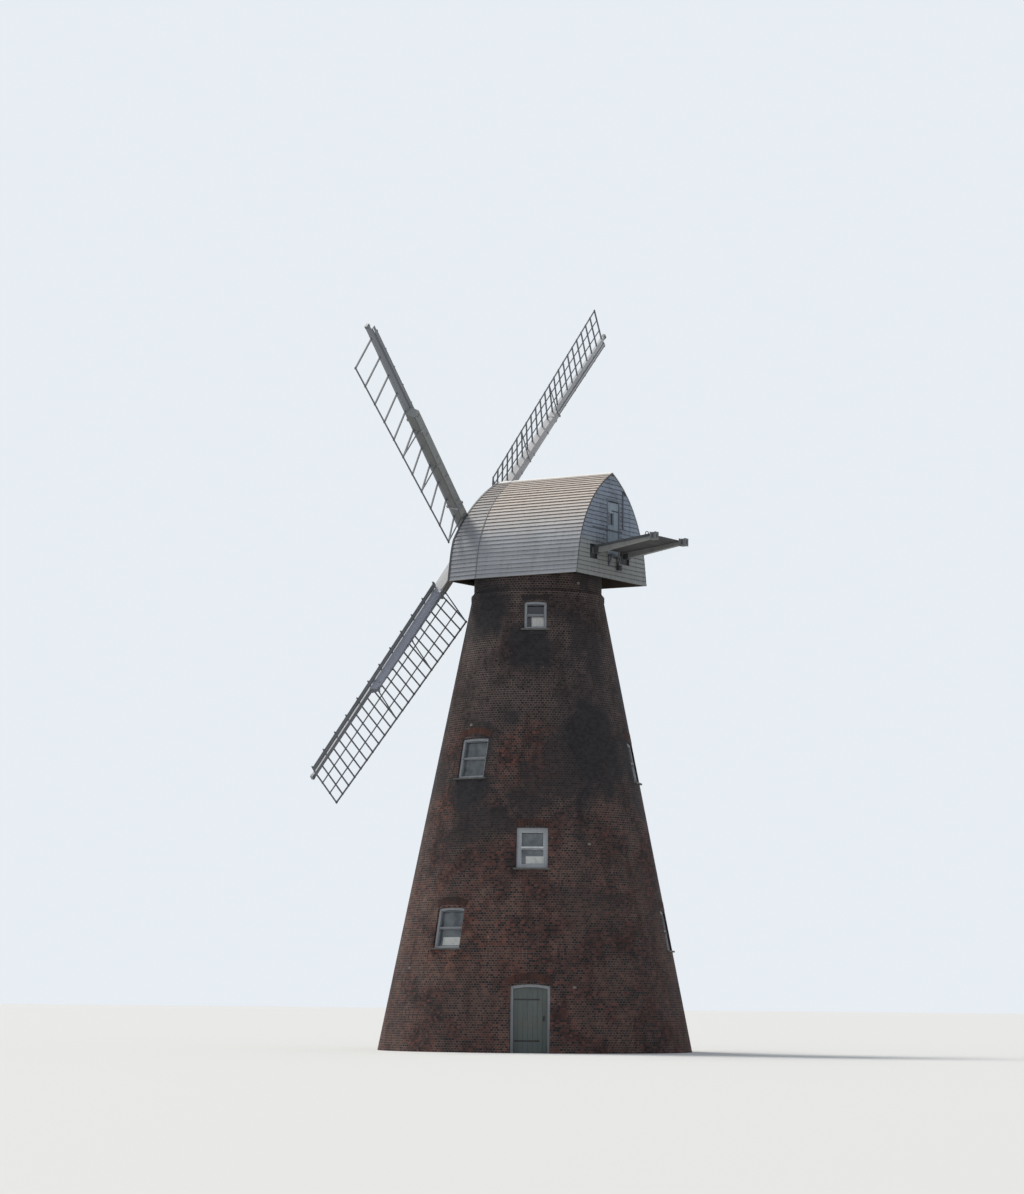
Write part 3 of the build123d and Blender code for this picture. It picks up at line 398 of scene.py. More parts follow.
# Sash paint, darker than the frames' paint as painted shade deep in the reveals
SHADED_SASH = paint("sash_paint_shaded", (0.19, 0.205, 0.225), (0.15, 0.145, 0.14), (0.08, 0.08, 0.085), 0.4)
PALE = paint("pale_paint", (0.58, 0.6, 0.62), (0.42, 0.4, 0.37), (0.22, 0.22, 0.22), 0.3)
DOOR = paint("blue_grey_door_paint", (0.27, 0.33, 0.39), (0.2, 0.22, 0.24), (0.12, 0.13, 0.14), 0.3, UPRIGHT)
GROUND_DOOR = paint("ground_door_paint", (0.1, 0.12, 0.115), (0.15, 0.12, 0.09), (0.035, 0.035, 0.035),
                    0.6, UPRIGHT)
OAK = paint("old_oak", (0.075, 0.06, 0.048), (0.05, 0.042, 0.035), (0.02, 0.018, 0.016), 0.6, (8.0, 1.0, 8.0))
SEAM = paint("seam_paint", (0.15, 0.155, 0.16), (0.2, 0.2, 0.2), (0.07, 0.07, 0.07), 0.4)
DARK_EDGE = paint("dark_edge_paint", (0.045, 0.05, 0.056), (0.1, 0.1, 0.1), (0.022, 0.022, 0.022), 0.4)
IRON = iron_material("dark_iron", (0.035, 0.037, 0.04), (0.055, 0.04, 0.032))
STRAP_IRON = iron_material("strap_iron", (0.3, 0.32, 0.35), (0.2, 0.17, 0.15))
GREY_IRON = iron_material("painted_iron", (0.17, 0.18, 0.19), (0.12, 0.095, 0.08))
GLASS = glass_material()
BLIND = blind_material()

DEFAULTS = {"tower_wall": BRICK, "cap_": OAK, "sail_frame": LATTICE}
NODE_MATERIALS = {
    "curb": IRON, "window_frames": FRAME, "window_glass": GLASS, "door_frames": FRAME,
    # The tail wall inside the cap is near-black as painted shade
    "door_leaves": GROUND_DOOR, "cap_tail_wall": BLACK_AND_SHADE, "gable_door": DOOR, "gable_pane": GLASS,
    "hanging_weight": BLACK_AND_SHADE, "sheers": OAK, "cross_beams": OAK, "skids": IRON, "shaft_bearings": IRON,
    "windshaft": IRON, "stock_outer": STOCK, "stock_inner": INNER_STOCK, "whips": WHIP, "backstays": LATTICE,
    "stock_clamps": STRAP_IRON,
    "ground_floor": stone_material("flagstone", (0.16, 0.15, 0.14), (0.36, 0.34, 0.31), (0.4, 0.38, 0.35)),
    "storey_floors": plank_material("floor_boards", (0.13, 0.095, 0.065), (0.25, 0.185, 0.13), 0.18, 0),
    "window_sills": stone_material("sill_stone", (0.055, 0.053, 0.052), (0.13, 0.125, 0.12), (0.42, 0.41, 0.4)),
    "ridge_capping": paint("ridge_paint", (0.78, 0.77, 0.75), (0.6, 0.55, 0.5), (0.34, 0.32, 0.3), 0.4),
    "gable_trim": paint("rail_paint", (0.07, 0.08, 0.095), (0.09, 0.095, 0.1), (0.03, 0.033, 0.036), 0.4),
    "fan_beams": paint("beam_paint", (0.205, 0.21, 0.205), (0.15, 0.14, 0.12), (0.07, 0.07, 0.07), 0.6),
    "fan_deck": plank_material("deck_planks", (0.028, 0.028, 0.03), (0.075, 0.074, 0.072), 0.2, 1),
    "fan_post_blocks": paint("block_paint", (0.15, 0.155, 0.16), (0.11, 0.1, 0.09), (0.045, 0.045, 0.045), 0.6),
    "poll_end": iron_material("poll_iron", (0.06, 0.056, 0.054), (0.085, 0.06, 0.045)),
}
for name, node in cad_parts.items():
    default = [finish for start, finish in DEFAULTS.items() if name.startswith(start)]
    node.data.materials.clear()
    node.data.materials.append(NODE_MATERIALS.get(name, *default))


# Mesh helpers

QUADS = ((3, 2, 1, 0), (4, 5, 6, 7), (0, 1, 5, 4), (1, 2, 6, 5), (2, 3, 7, 6), (3, 0, 4, 7))


def linked(name, data):
    """New object in the scene."""
    thing = bpy.data.objects.new(name, data)
    bpy.context.scene.collection.objects.link(thing)
    return thing


class Batch:
    """Many small solids gathered into one mesh."""

    def __init__(self):
        self.verts, self.faces, self.tints, self.ups = [], [], [], []

    def hull(self, corners, tint=None, ups=(0.0,) * 8):
        """Six-sided solid from eight corners, four of one end then four of the other."""
        base = len(self.verts)
        self.verts += corners
        self.ups += ups
        self.faces += [tuple(base + i for i in quad) for quad in QUADS]
        self.tints += [chance.random() if tint is None else tint] * len(QUADS)

    def box(self, place, x, y, z):
        """Box between bounds on the axes of a place."""
        self.hull([place(a, b, c) for c in z
                   for a, b in ((x[0], y[0]), (x[1], y[0]), (x[1], y[1]), (x[0], y[1]))])

    def rod(self, start, end, radius, sides=8):
        """Round bar between two points."""
        start, end = Vector(start), Vector(end)
        turn = (end - start).to_track_quat("Z", "Y").to_matrix()
        ring = [turn @ Vector((cos(a), sin(a), 0)) * radius for a in (2 * pi * i / sides for i in range(sides))]
        self.loft([[start + r for r in ring], [end + r for r in ring]])

    def loft(self, rings):
        """Closed solid through rings of points."""
        first, count = len(self.verts), len(rings[0])
        for ring in rings:
            self.verts += ring
        self.ups += [0.0] * (count * len(rings))
        last = first + count * (len(rings) - 1)
        self.faces.append(tuple(first + i for i in reversed(range(count))))
        self.faces.append(tuple(last + i for i in range(count)))
        for base in range(first, last, count):
            for i in range(count):
                j = (i + 1) % count
                self.faces.append((base + i, base + j, base + count + j, base + count + i))
        self.tints += [chance.random()] * (2 + count * (len(rings) - 1))

    def make(self, name, material, body, slot, bevel=0.0):
        """One piece of all that was gathered, which rides on a body."""
        mesh = bpy.data.meshes.new(name)
        mesh.from_pydata([tuple(v) for v in self.verts], [], self.faces)
        mesh.validate()
        mesh.update()
        for key, domain, values in (("tint", "FACE", self.tints), ("up", "POINT", self.ups)):
            mesh.attributes.new(key, "FLOAT", domain).data.foreach_set("value", values)
        mesh.materials.append(material)
        thing = linked(name, mesh)
        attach(thing, body)
        if bevel:
            soft = thing.modifiers.new("edges", "BEVEL")
            soft.width, soft.segments, soft.limit_method = bevel, 2, "ANGLE"
        return thing


def straight(x, y, z):
    """Place of plain row coordinates."""
    return Vector((x, y, z))


# Cap, the same named values as in part.py

CAP_Z = 15.425
SEAM_Y, HEAD_Y, TAIL_Y = -1.02, -2.215, 2.86
HEAD_RIDGE_Y, RAKE_HEIGHT = -1.58, 1.4
RIDGE_HEIGHT = 3.52
NARROWING = 0.92
KNEE = (2.13, 0.75)
FOOT = (2.26, 0.0)
ARC_CENTRE, ARC_RADIUS = (-1.7108, 0.0005), 3.9132
WALL_LENGTH = hypot(FOOT[0] - KNEE[0], KNEE[1])
KNEE_ANGLE = atan2(KNEE[1] - ARC_CENTRE[1], KNEE[0] - ARC_CENTRE[0])
RIDGE_ANGLE = atan2(RIDGE_HEIGHT - ARC_CENTRE[1], -ARC_CENTRE[0])
CAP_LENGTH = WALL_LENGTH + ARC_RADIUS * (RIDGE_ANGLE - KNEE_ANGLE)
EXPOSURE, LAP, SLIVER = 0.143, 0.022, 0.04
# Faces of a board above what carries it: its underside, its lower edge and its upper edge
BEHIND, PROUD, TUCKED = 0.001, 0.03, 0.007
WALL_BEHIND, WALL_PROUD, WALL_TUCKED = 0.0005, 0.024, 0.006
UPS = (0.0, 0.0, 1.0, 1.0) * 2
BAND, BAND_PIECES = 0.034, 30
BUTT, TAIL_END = 0.006, TAIL_Y + 0.004
BOARD_LENGTHS, SHORTEST, UNEVEN = (1.7, 3.6), 0.5, (-0.002, 0.003)


def cap_point(along, off):
    """Half width and height at a distance up the cap's side, off its surface."""
    if along <= WALL_LENGTH:
        share = along / WALL_LENGTH
        normal = (KNEE[1] / WALL_LENGTH, (FOOT[0] - KNEE[0]) / WALL_LENGTH)
        x = FOOT[0] + (KNEE[0] - FOOT[0]) * share
        return x + normal[0] * off, KNEE[1] * share + normal[1] * off
    angle = KNEE_ANGLE + (along - WALL_LENGTH) / ARC_RADIUS
    reach = ARC_RADIUS + off
    return max(0.0, ARC_CENTRE[0] + cos(angle) * reach), ARC_CENTRE[1] + sin(angle) * reach


def narrowing(y):
    """Share of the full width at y."""
    return 1.0 - (1.0 - NARROWING) * max(0.0, SEAM_Y - y) / (SEAM_Y - HEAD_Y)


def head_edge(height):
    """The raked head's y at a height above the cap's foot."""
    share = max(0.0, height - RAKE_HEIGHT) / (RIDGE_HEIGHT - RAKE_HEIGHT)
    return HEAD_Y + (HEAD_RIDGE_Y - HEAD_Y) * share


def on_cap(side, along, off, y):
    """Point of the cap's outside."""
    x, height = cap_point(along, off)
    return Vector((side * x * narrowing(y), y, CAP_Z + height))


def cap_strip(batch, side, along, offs, y_low, y_high, tint=None):
    """Board on the cap between two distances up its side; y bounds are functions of the distance."""
    section = ((along[0], BEHIND), (along[0], offs[0]), (along[1], offs[1]), (along[1], BEHIND))
    batch.hull([on_cap(side, distance, off, at(distance)) for at in (y_low, y_high)
                for distance, off in section], tint, UPS)


def board_rows(length):
    """Lower and upper edges of the boards up a length."""
    rows = [(row * EXPOSURE, min(length, (row + 1) * EXPOSURE + LAP))
            for row in range(int(length / EXPOSURE) + 1)]
    return [(low, high) for low, high in rows if high - low > SLIVER]


def side_boards(batch, side):
    """Boards behind the seam in random lengths."""
    for row in board_rows(CAP_LENGTH - 0.004):
        y = SEAM_Y + BUTT
        while y < TAIL_Y - 0.02:
            end = min(TAIL_END, y + chance.uniform(*BOARD_LENGTHS))
            if TAIL_Y - end < SHORTEST:
                end = TAIL_END
            lift, tint = chance.uniform(*UNEVEN), chance.random()
            cap_strip(batch, side, row, (PROUD + lift, TUCKED + lift), lambda _: y, lambda _: end - 0.003, tint)
            y = end


def cap_bands(batch, side, y_low, y_high):
    """Band over the boards that follows the cap's side from foot to ridge."""
    for index in range(BAND_PIECES):
        span = (CAP_LENGTH * index / BAND_PIECES, CAP_LENGTH * (index + 1) / BAND_PIECES)
        cap_strip(batch, side, span, (BAND, BAND), y_low, y_high, 0.5)


def rake_line(along):
    """The head's y at a distance up the cap's side."""
    return head_edge(cap_point(along, 0)[1]) - 0.004


def beside_seam(reach):
    """Bounds on either side of the seam."""
    return lambda _: SEAM_Y - reach, lambda _: SEAM_Y + reach


def weatherboards():
    """Stepped boards on the sides and the bow, the seam between them and dark edges."""
    for side, label in ((1, "left"), (-1, "right")):
        body, bow, dark, seam = Batch(), Batch(), Batch(), Batch()
        side_boards(body, side)
        for row in board_rows(CAP_LENGTH - 0.004):
            lift = chance.uniform(-0.002, 0.002)
            cap_strip(bow, side, row, (PROUD + lift, TUCKED + lift), rake_line, lambda _: SEAM_Y - BUTT)
        cap_bands(dark, side, lambda at: rake_line(at) - 0.006, lambda at: rake_line(at) + 0.07)
        cap_bands(seam, side, *beside_seam(0.009))
        for low, _ in board_rows(CAP_LENGTH - 0.1):
            cap_strip(seam, side, (low + 0.035, low + 0.06), (BAND + 0.006, BAND + 0.004),
                      *beside_seam(0.018), 0.2)
        for batch, kind, finish in ((body, "boards", WHITE_BOARDS), (bow, "bow_boards", BOW_BOARDS),
                                    (dark, "dark_strips", DARK_EDGE), (seam, "seam", SEAM)):
            batch.make(f"{kind}_{label}", finish, "cap", "white_boards")


# Bounds on the tail wall: left, right, foot, head
GABLE_DOOR = (-0.41, 0.29, 0.8, 2.54)
SOCKETS = ((0.95, 1.41, 0.56, 1.03), (-1.11, -0.52, 0.56, 1.03))
GABLE_STRIP = (-0.71, -0.63, 1.78, 2.91)
GABLE_FACE = TAIL_Y - 0.012
GABLE_PANE = (-0.06, 0.18, 1.79, 2.17)
DOOR_PLANKS = 5
CLEAR = 0.012  # between a wall's boards and the holes that they are cut round
BEYOND = 9.0  # further out than any wall
LEAST = 0.02  # of a board that is worth a piece
HEAD_OPENING, HEAD_RIM = (1.26, 0.48), 20
LINING = 0.037


def half_width(height):
    """Half width of the cap inside its boards at a height above the foot."""
    if height <= KNEE[1]:
        return FOOT[0] + (KNEE[0] - FOOT[0]) * height / KNEE[1] - LINING
    across = sqrt(max(0.0, (ARC_RADIUS - LINING) ** 2 - (height - ARC_CENTRE[1]) ** 2))
    return max(0.0, ARC_CENTRE[0] + across)


def wall_boards(batch, face, reach, holes):
    """Boards across an end wall, cut round its holes; face gives y and the outward sense."""
    for low, high in board_rows(RIDGE_HEIGHT - 0.06):
        stops = [-BEYOND]
        for left, right in sorted(holes(low, high)):
            stops += [left - CLEAR, right + CLEAR]
        stops.append(BEYOND)
        lift, tint = chance.uniform(*UNEVEN), chance.random()
        section = ((low, WALL_BEHIND), (low, WALL_PROUD + lift), (high, WALL_TUCKED + lift), (high, WALL_BEHIND))
        for left, right in zip(stops[::2], stops[1::2]):
            corners = []
            for edge in (lambda h: max(left, -reach(h)), lambda h: min(right, reach(h))):
                for height, off in section:
                    y, sense = face(height)
                    corners.append(Vector((edge(height), y + sense * off, CAP_Z + height)))
            if corners[4].x - corners[0].x > LEAST and corners[6].x - corners[2].x > 0.005:
                batch.hull(corners, tint, UPS)


def above_foot(x, y, z):
    """Place of coordinates that count up from the cap's foot."""
    return Vector((x, y, CAP_Z + z))


def fill_board(batch, x, bounds, low):
    """Short piece of a gable board above or below a socket."""
    ups = [(at - low) / (EXPOSURE + LAP) for at in bounds]
    proud = [WALL_PROUD - (WALL_PROUD - WALL_TUCKED) * up for up in ups]
    section = ((bounds[0], WALL_BEHIND), (bounds[0], proud[0]), (bounds[1], proud[1]), (bounds[1], WALL_BEHIND))
    batch.hull([above_foot(across, GABLE_FACE + off, height) for across in x for height, off in section],
               0.4, (ups[0], ups[0], ups[1], ups[1]) * 2)


def gable_boards():
    """Worn boards on the tail wall, cut round the door, the sockets and the strip."""
    def holes(low, high):
        spots = (GABLE_DOOR, *SOCKETS, GABLE_STRIP)
        return [spot[:2] for spot in spots if spot[2] < high - LEAST and spot[3] > low + LEAST]

    batch = Batch()
    wall_boards(batch, lambda _: (GABLE_FACE, 1), half_width, holes)
    for left, right, foot, head in SOCKETS:
        for low, high in board_rows(head + EXPOSURE):
            if foot < high - LEAST and head > low + LEAST:
                for bounds in ((low, min(foot, high)), (max(head, low), high)):
                    if bounds[1] - bounds[0] > LEAST:
                        fill_board(batch, (left - CLEAR, right + CLEAR), bounds, low)
    batch.make("gable_boards", GABLE_BOARDS, "cap", "gable_boards")


def head_boards():
    """Boards on the raked head, cut and trimmed round the shaft."""
    middle, radius = HEAD_OPENING

    def holes(low, high):
        nearest = min(max(middle, low), high) - middle
        if abs(nearest) >= radius:
            return []
        half = sqrt(radius**2 - nearest**2)
        return [(-half, half)]

    batch, rim = Batch(), Batch()
    wall_boards(batch, lambda h: (head_edge(h) + 0.012, -1), lambda h: half_width(h) * NARROWING - CLEAR, holes)
    batch.make("head_boards", HEAD_BOARDS, "cap", "white_boards")
    near, far = radius - 0.03, radius + 0.06
    for index in range(HEAD_RIM):
        corners = []
        for out in (0.0, -0.028):
            for turn, reach in ((index, near), (index + 1, near), (index + 1, far), (index, far)):
                angle = 2 * pi * turn / HEAD_RIM
                height = middle + sin(angle) * reach
                corners.append(above_foot(cos(angle) * reach, head_edge(height) + out, height))
        rim.hull(corners)
    rim.make("shaft_trim", GREY, "cap", "white_boards")


def planks_across(left, right, count):
    """Bounds of boards side by side with narrow gaps."""
    width = (right - left) / count
    return [(left + width * index + 0.003, left + width * (index + 1) - 0.003) for index in range(count)]


def gable_details():
    """Door planks, architrave with a drip board, rim of the door's light, near-black backs in the sockets as
    painted shade, and hinges.
    """
    left, right, foot, head = GABLE_DOOR
    face = TAIL_Y - 0.022
    planks = Batch()
    pane = GABLE_PANE
    for x in planks_across(left, right, DOOR_PLANKS):
        spans = [(foot + 0.01, head - 0.01)]
        if x[1] > pane[0] and x[0] < pane[1]:
            spans = [(foot + 0.01, pane[2] - 0.02), (pane[3] + 0.02, head - 0.01)]
        for low, high in spans:
            planks.box(above_foot, x, (face, face + 0.012), (low, high))
    planks.make("door_planks", DOOR, "cap", "door_blue_grey")
    trim = Batch()
    out = (GABLE_FACE, GABLE_FACE + 0.03)
    for x in ((left - 0.06, left + 0.004), (right - 0.004, right + 0.06)):
        trim.box(above_foot, x, out, (foot - 0.02, head + 0.06))
    trim.box(above_foot, (left - 0.09, right + 0.09), (out[0], out[1] + 0.02), (head + 0.03, head + 0.09))
    trim.make("door_architrave", GABLE_BOARDS, "cap", "gable_boards")
    bars = Batch()
    rim = (face, face + 0.022)
    for x in ((pane[0] - 0.022, pane[0]), (pane[1], pane[1] + 0.022)):
        bars.box(above_foot, x, rim, (pane[2] - 0.02, pane[3] + 0.02))
    for z in ((pane[2] - 0.022, pane[2]), (pane[3], pane[3] + 0.022)):
        bars.box(above_foot, (pane[0] - 0.02, pane[1] + 0.02), rim, z)
    bars.make("door_light_rim", DOOR, "cap", "door_blue_grey")
    # Near-black backs in the sockets, painted shade in the openings
    backs = Batch()
    for low_x, high_x, low_z, high_z in SOCKETS:
        backs.box(above_foot, (low_x - 0.05, high_x + 0.05), (TAIL_Y - 0.075, TAIL_Y - 0.065),
                  (low_z - 0.05, high_z + 0.05))
    backs.make("socket_shade_backs", BLACK_AND_SHADE, "cap", "gable_boards")
    iron = Batch()
    for z in (foot + 0.22, head - 0.3):
        iron.box(above_foot, (left + 0.02, left + 0.42), (face + 0.012, face + 0.018), (z, z + 0.04))
    iron.make("door_hinges", IRON, "cap", "iron")


# Windows, the same named values as in part.py

BASE_RADIUS, TOP_RADIUS, TOP_Z = 5.16, 2.038, 15.6
BATTER = (BASE_RADIUS - TOP_RADIUS) / TOP_Z
LEAN = atan(BATTER)
REVEAL, FRAME_DEPTH, RAIL = 0.11, 0.11, 0.045
# Depths out of the wall's face, of what the scene adds in the reveals
LOWER_SASH, UPPER_SASH = (-REVEAL - FRAME_DEPTH + 0.004, -REVEAL - 0.07), (-REVEAL - 0.068, -REVEAL - 0.03)
MEETING_RAIL, HORNS = (-REVEAL, -REVEAL + 0.014), (-REVEAL - 0.05, -REVEAL - 0.02)
BLINDS = (-REVEAL - FRAME_DEPTH + 0.001, -REVEAL - FRAME_DEPTH + 0.003)
SASH_BAR, HORN_WIDTH, HORN_LENGTH = 0.02, 0.022, 0.06
BLIND_CHANCE, BLIND_DROP, TOP_SILL, WIDE_BORDER = 0.55, 0.55, 13.0, 0.1
ARCH_BRICK_WIDTH, ARCH_DEPTH, ARCH_JOINT = 0.085, 0.225, 0.004
# Directions, sill, head, width, meeting rail, rise of the arch, border
WINDOWS = (
    ((30.0, 210.0), 13.69, 14.61, 0.72, 14.16, 0.03, 0.07),
    ((165.0, 255.0), 11.25, 12.35, 0.85, 11.82, 0.03, 0.07),
    ((352.0, 112.0, 219.0), 8.8, 10.1, 1.11, 9.455, 0.03, 0.07),
    ((30.0, 210.0), 5.85, 7.16, 1.0, 6.52, 0.001, 0.13),
    ((352.0, 112.0, 219.0), 3.3, 4.6, 1.11, 3.955, 0.03, 0.07),
)
DOORS = (((30.0, 210.0), 0.0, 2.15, 1.25, 0.0, 0.06, 0.08),)
GROUND_PLANKS = 7


def wall_radius(z):
    """Outside of the tower at a height."""
    return BASE_RADIUS - BATTER * z


def wall_axes(angle):
    """Sideways and outward directions on the wall."""
    turn = radians(angle)
    return Vector((-sin(turn), cos(turn), 0)), Vector((cos(turn), sin(turn), 0))


def facing(angle, z, lean=0.0):
    """Place on the wall: sideways, up its face, outward."""
    side, away = wall_axes(angle)
    out = away * cos(lean) + Vector((0, 0, sin(lean)))
    up = Vector((0, 0, cos(lean))) - away * sin(lean)
    origin = away * wall_radius(z) + Vector((0, 0, z))
    return lambda x, y, r: origin + side * x + up * y + out * r


def frame_round(batch, place, x, y, depth):
    """Four sash timbers round a light."""
    batch.box(place, (x[0], x[0] + SASH_BAR), y, depth)
    batch.box(place, (x[1] - SASH_BAR, x[1]), y, depth)
    batch.box(place, x, (y[0], y[0] + SASH_BAR * 1.3), depth)
    batch.box(place, x, (y[1] - SASH_BAR, y[1]), depth)


def arch(batch, angle, head, width, rise):
    """Gauged brick arch that follows the wall."""
    spread = radians(24 if rise > 0.01 else 9)
    reach = (width / 2 + 0.03) / sin(spread)
    centre = head - reach * cos(spread) - 0.004
    count = max(9, round(width / ARCH_BRICK_WIDTH)) | 1
    side, away = wall_axes(angle)
    far = reach + ARCH_DEPTH
    for index in range(count):
        low = -spread + 2 * spread * index / count + ARCH_JOINT
        high = -spread + 2 * spread * (index + 1) / count - ARCH_JOINT
        corners = []
        for out in (-0.05, 0.006):
            for a, r in ((low, reach), (high, reach), (high, far), (low, far)):
                x, z = sin(a) * r, centre + cos(a) * r
                distance = sqrt(wall_radius(z) ** 2 - x * x) + out
                corners.append(side * x + away * distance + Vector((0, 0, z)))
        batch.hull(corners)


def sashes():
    """Sash timbers, horns, blinds and the brick arch of each window."""
    wood, pale, blinds, arches = Batch(), Batch(), Batch(), Batch()
    for angles, sill, head, width, rail, rise, border in WINDOWS:
        batch = pale if border > WIDE_BORDER else wood
        half = width / 2 - border
        middle, top = (rail - sill) / cos(LEAN), (head - sill) / cos(LEAN)
        under, over = middle - RAIL / 2, middle + RAIL / 2
        for angle in angles:
            place = facing(angle, sill, LEAN)
            frame_round(batch, place, (-half, half), (border, under), LOWER_SASH)
            frame_round(batch, place, (-half, half), (over, top - border - rise * 0.7), UPPER_SASH)
            batch.box(place, (-half, half), (under, over), MEETING_RAIL)
            for x in (-half + 0.012, half - 0.012 - HORN_WIDTH):
                batch.box(place, (x, x + HORN_WIDTH), (under - HORN_LENGTH, under), HORNS)
            if chance.random() < BLIND_CHANCE or sill > TOP_SILL:
                drop = under if sill > TOP_SILL else border + BLIND_DROP * (middle - border)
                blinds.box(place, (-half + 0.16, half - 0.012), (border + 0.05, drop - 0.012), BLINDS)
            arch(arches, angle, head, width, rise)
    for angles, _, head, width, _, rise, _ in DOORS:
        for angle in angles:
            arch(arches, angle, head, width, rise)
    # Sashes in the darker sash paint, painted shade in the reveals
    wood.make("sashes", SHADED_SASH, "tower", "frame_paint")
    pale.make("pale_sashes", PALE, "tower", "frame_paint")
    blinds.make("blinds", BLIND, "tower", "frame_paint")
    arches.make("brick_arches", ARCH_BRICK, "tower", "brick")


def ground_doors():
    """Ledged planks, hinges and a latch on both ground doors."""
    planks, iron = Batch(), Batch()
    for angles, sill, head, width, _, rise, border in DOORS:
        half = width / 2 - border
        surface = wall_radius(head) - wall_radius(sill) - REVEAL - FRAME_DEPTH + 0.045
        for angle in angles:
            place = facing(angle, sill)
            for x in planks_across(-half, half, GROUND_PLANKS):
                planks.box(place, x, (0.012, head - border - rise - 0.01), (surface, surface + 0.014))
            for y in (0.35, 1.65):
                iron.box(place, (-half + 0.03, half - 0.25), (y, y + 0.05), (surface + 0.014, surface + 0.021))
            iron.box(place, (half - 0.16, half - 0.08), (1.0, 1.16), (surface + 0.014, surface + 0.022))
            iron.rod(place(half - 0.12, 1.08, surface + 0.02), place(half - 0.12, 1.08, surface + 0.07), 0.022)
    planks.make("ground_door_planks", GROUND_DOOR, "tower", "door_paint", 0.003)
    iron.make("ground_door_iron", IRON, "tower", "iron")


# Sails, the same named values as in part.py

# Turn of each sail from upright and its stock's place behind the hub
SAILS = ((SUNLIT_TURN, 0.0), (217.0, 0.0), (-53.0, 0.32), (127.0, 0.32))
BOARD_ENDS = ((1.945, 10.21), (1.945, 10.21), (1.715, 10.15), (1.715, 10.15))
LEAD_GAP, LEAD_WIDTH, LEAD_THICK, BAR_DEPTH = 0.07, 0.15, 0.022, 0.045
WHIP_ENDS, WHIP_HALF, WHIP_DEPTH, STOCK_DEPTH = (0.6, 10.41), (0.12, 0.07), (0.15, 0.09), 0.29
STOCK_LENGTH, STOCK_SLANT, STOCK_HALF, STOCK_REAR = 6.57, 0.09, 0.165, -0.145
STOCK_TIPS = {0.0: (0.12, -0.09), 0.32: (0.165, -0.17)}
CHAMFERS, CHAMFERED = {0.0: (0.02, 0.085), 0.32: (0.02, 0.035)}, (1.95, 2.3)
STRAP_PLACE, STRAP_WIDTH, STRAP_THICK = 2.125, 0.09, 0.015
STAYS = {0.0: (1.98, 4.215, 6.45), 0.32: (1.76, 4.196, 5.82)}
BOLTS, BOLT_RADIUS, BOLT_SIDES = (0.85, 1.2, 2.45, 3.6, 4.5, 5.55, 6.4), 0.018, (-0.04, 0.04)
FERRULE = ((10.3, 10.4), (-0.078, 0.078), (0.14, 0.241))


def stock_section(along, back):
    """Half width and rear face of the stock at a distance from the hub."""
    share = abs(along) / STOCK_LENGTH
    half, rear = STOCK_TIPS[back]
    return STOCK_HALF + share * (half - STOCK_HALF), STOCK_REAR + share * (rear - STOCK_REAR)


def stock_ring(place, along, back):
    """Outline across the stock, with its rear arrises chamfered beyond the inner straps."""
    half, rear = stock_section(along, back)
    cut = CHAMFERS[back][abs(along) > CHAMFERED[0]]
    slant = STOCK_SLANT if abs(along) == STOCK_LENGTH else 0.0
    behind = copysign(abs(along) - slant, along)
    front = STOCK_DEPTH / 2
    return [place(behind, -half + cut, rear), place(behind, half - cut, rear), place(behind, half, rear + cut),
            place(along, half, front), place(along, -half, front), place(behind, -half, rear + cut)]


def stocks():
    """Both stocks with chamfered backs, their straps and the stays' flat feet."""
    for (turn, back), name, finish in ((SAILS[0], "stock_outer", STOCK), (SAILS[2], "stock_inner", INNER_STOCK)):
        timber, straps = Batch(), Batch()
        reach = [-STOCK_LENGTH, -CHAMFERED[1], -CHAMFERED[0], CHAMFERED[0], CHAMFERED[1], STOCK_LENGTH]
        place = on_sail(turn, back)
        timber.loft([stock_ring(place, along, back) for along in reach])
        for side in (0.0, 180.0):
            place = on_sail(turn + side, back)
            half, rear = stock_section(STRAP_PLACE, back)
            straps.box(place, (STRAP_PLACE, STRAP_PLACE + STRAP_WIDTH),
                       (-half - STRAP_THICK, half + STRAP_THICK), (rear - STRAP_THICK, STOCK_DEPTH / 2 + 0.002))
            for along in STAYS[back]:
                half, rear = stock_section(along, back)
                straps.box(place, (along - 0.02, along + 0.02), (-half - 0.006, 0.08),
                           (rear - 0.014, rear + 0.02))
        beam = timber.make(f"{name}_timber", finish, "sails", "stock_paint")
        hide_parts(name)
        straps.make(f"{name}_straps", STRAP_IRON, "sails", "iron")


def on_sail(turn, back):
    """Place on a sail: along the whip, to the leading side, out of the front."""
    radial = sail_arm(turn)
    ahead = AXIS.cross(radial)
    origin = HUB - AXIS * back
    return lambda x, y, z: origin + radial * x + ahead * y + AXIS * z


def sail_iron():
    """Bolts through stock and whip and a ferrule on each whip's end."""
    bolts, tips = Batch(), Batch()
    for turn, back in SAILS:
        place = on_sail(turn, back)
        for along in BOLTS:
            rear = stock_section(along, back)[1]
            for side in BOLT_SIDES:
                for depth in ((rear - 0.022, rear + 0.01), (0.27, 0.315 - along * 0.006)):
                    bolts.rod(place(along, side, depth[0]), place(along, side, depth[1]), BOLT_RADIUS, 6)
        tips.box(place, *FERRULE)
    bolts.make("sail_bolts", GREY_IRON, "sails", "iron")
    tips.make("whip_ferrules", GREY_IRON, "sails", "iron")


def whip_section(along):
    """Half width of the whip and height of its middle above the stock's centre plane."""
    share = (along - WHIP_ENDS[0]) / (WHIP_ENDS[1] - WHIP_ENDS[0])
    edge = WHIP_HALF[0] + share * (WHIP_HALF[1] - WHIP_HALF[0])
    depth = WHIP_DEPTH[0] + share * (WHIP_DEPTH[1] - WHIP_DEPTH[0])
    return edge, (STOCK_DEPTH + depth) / 2


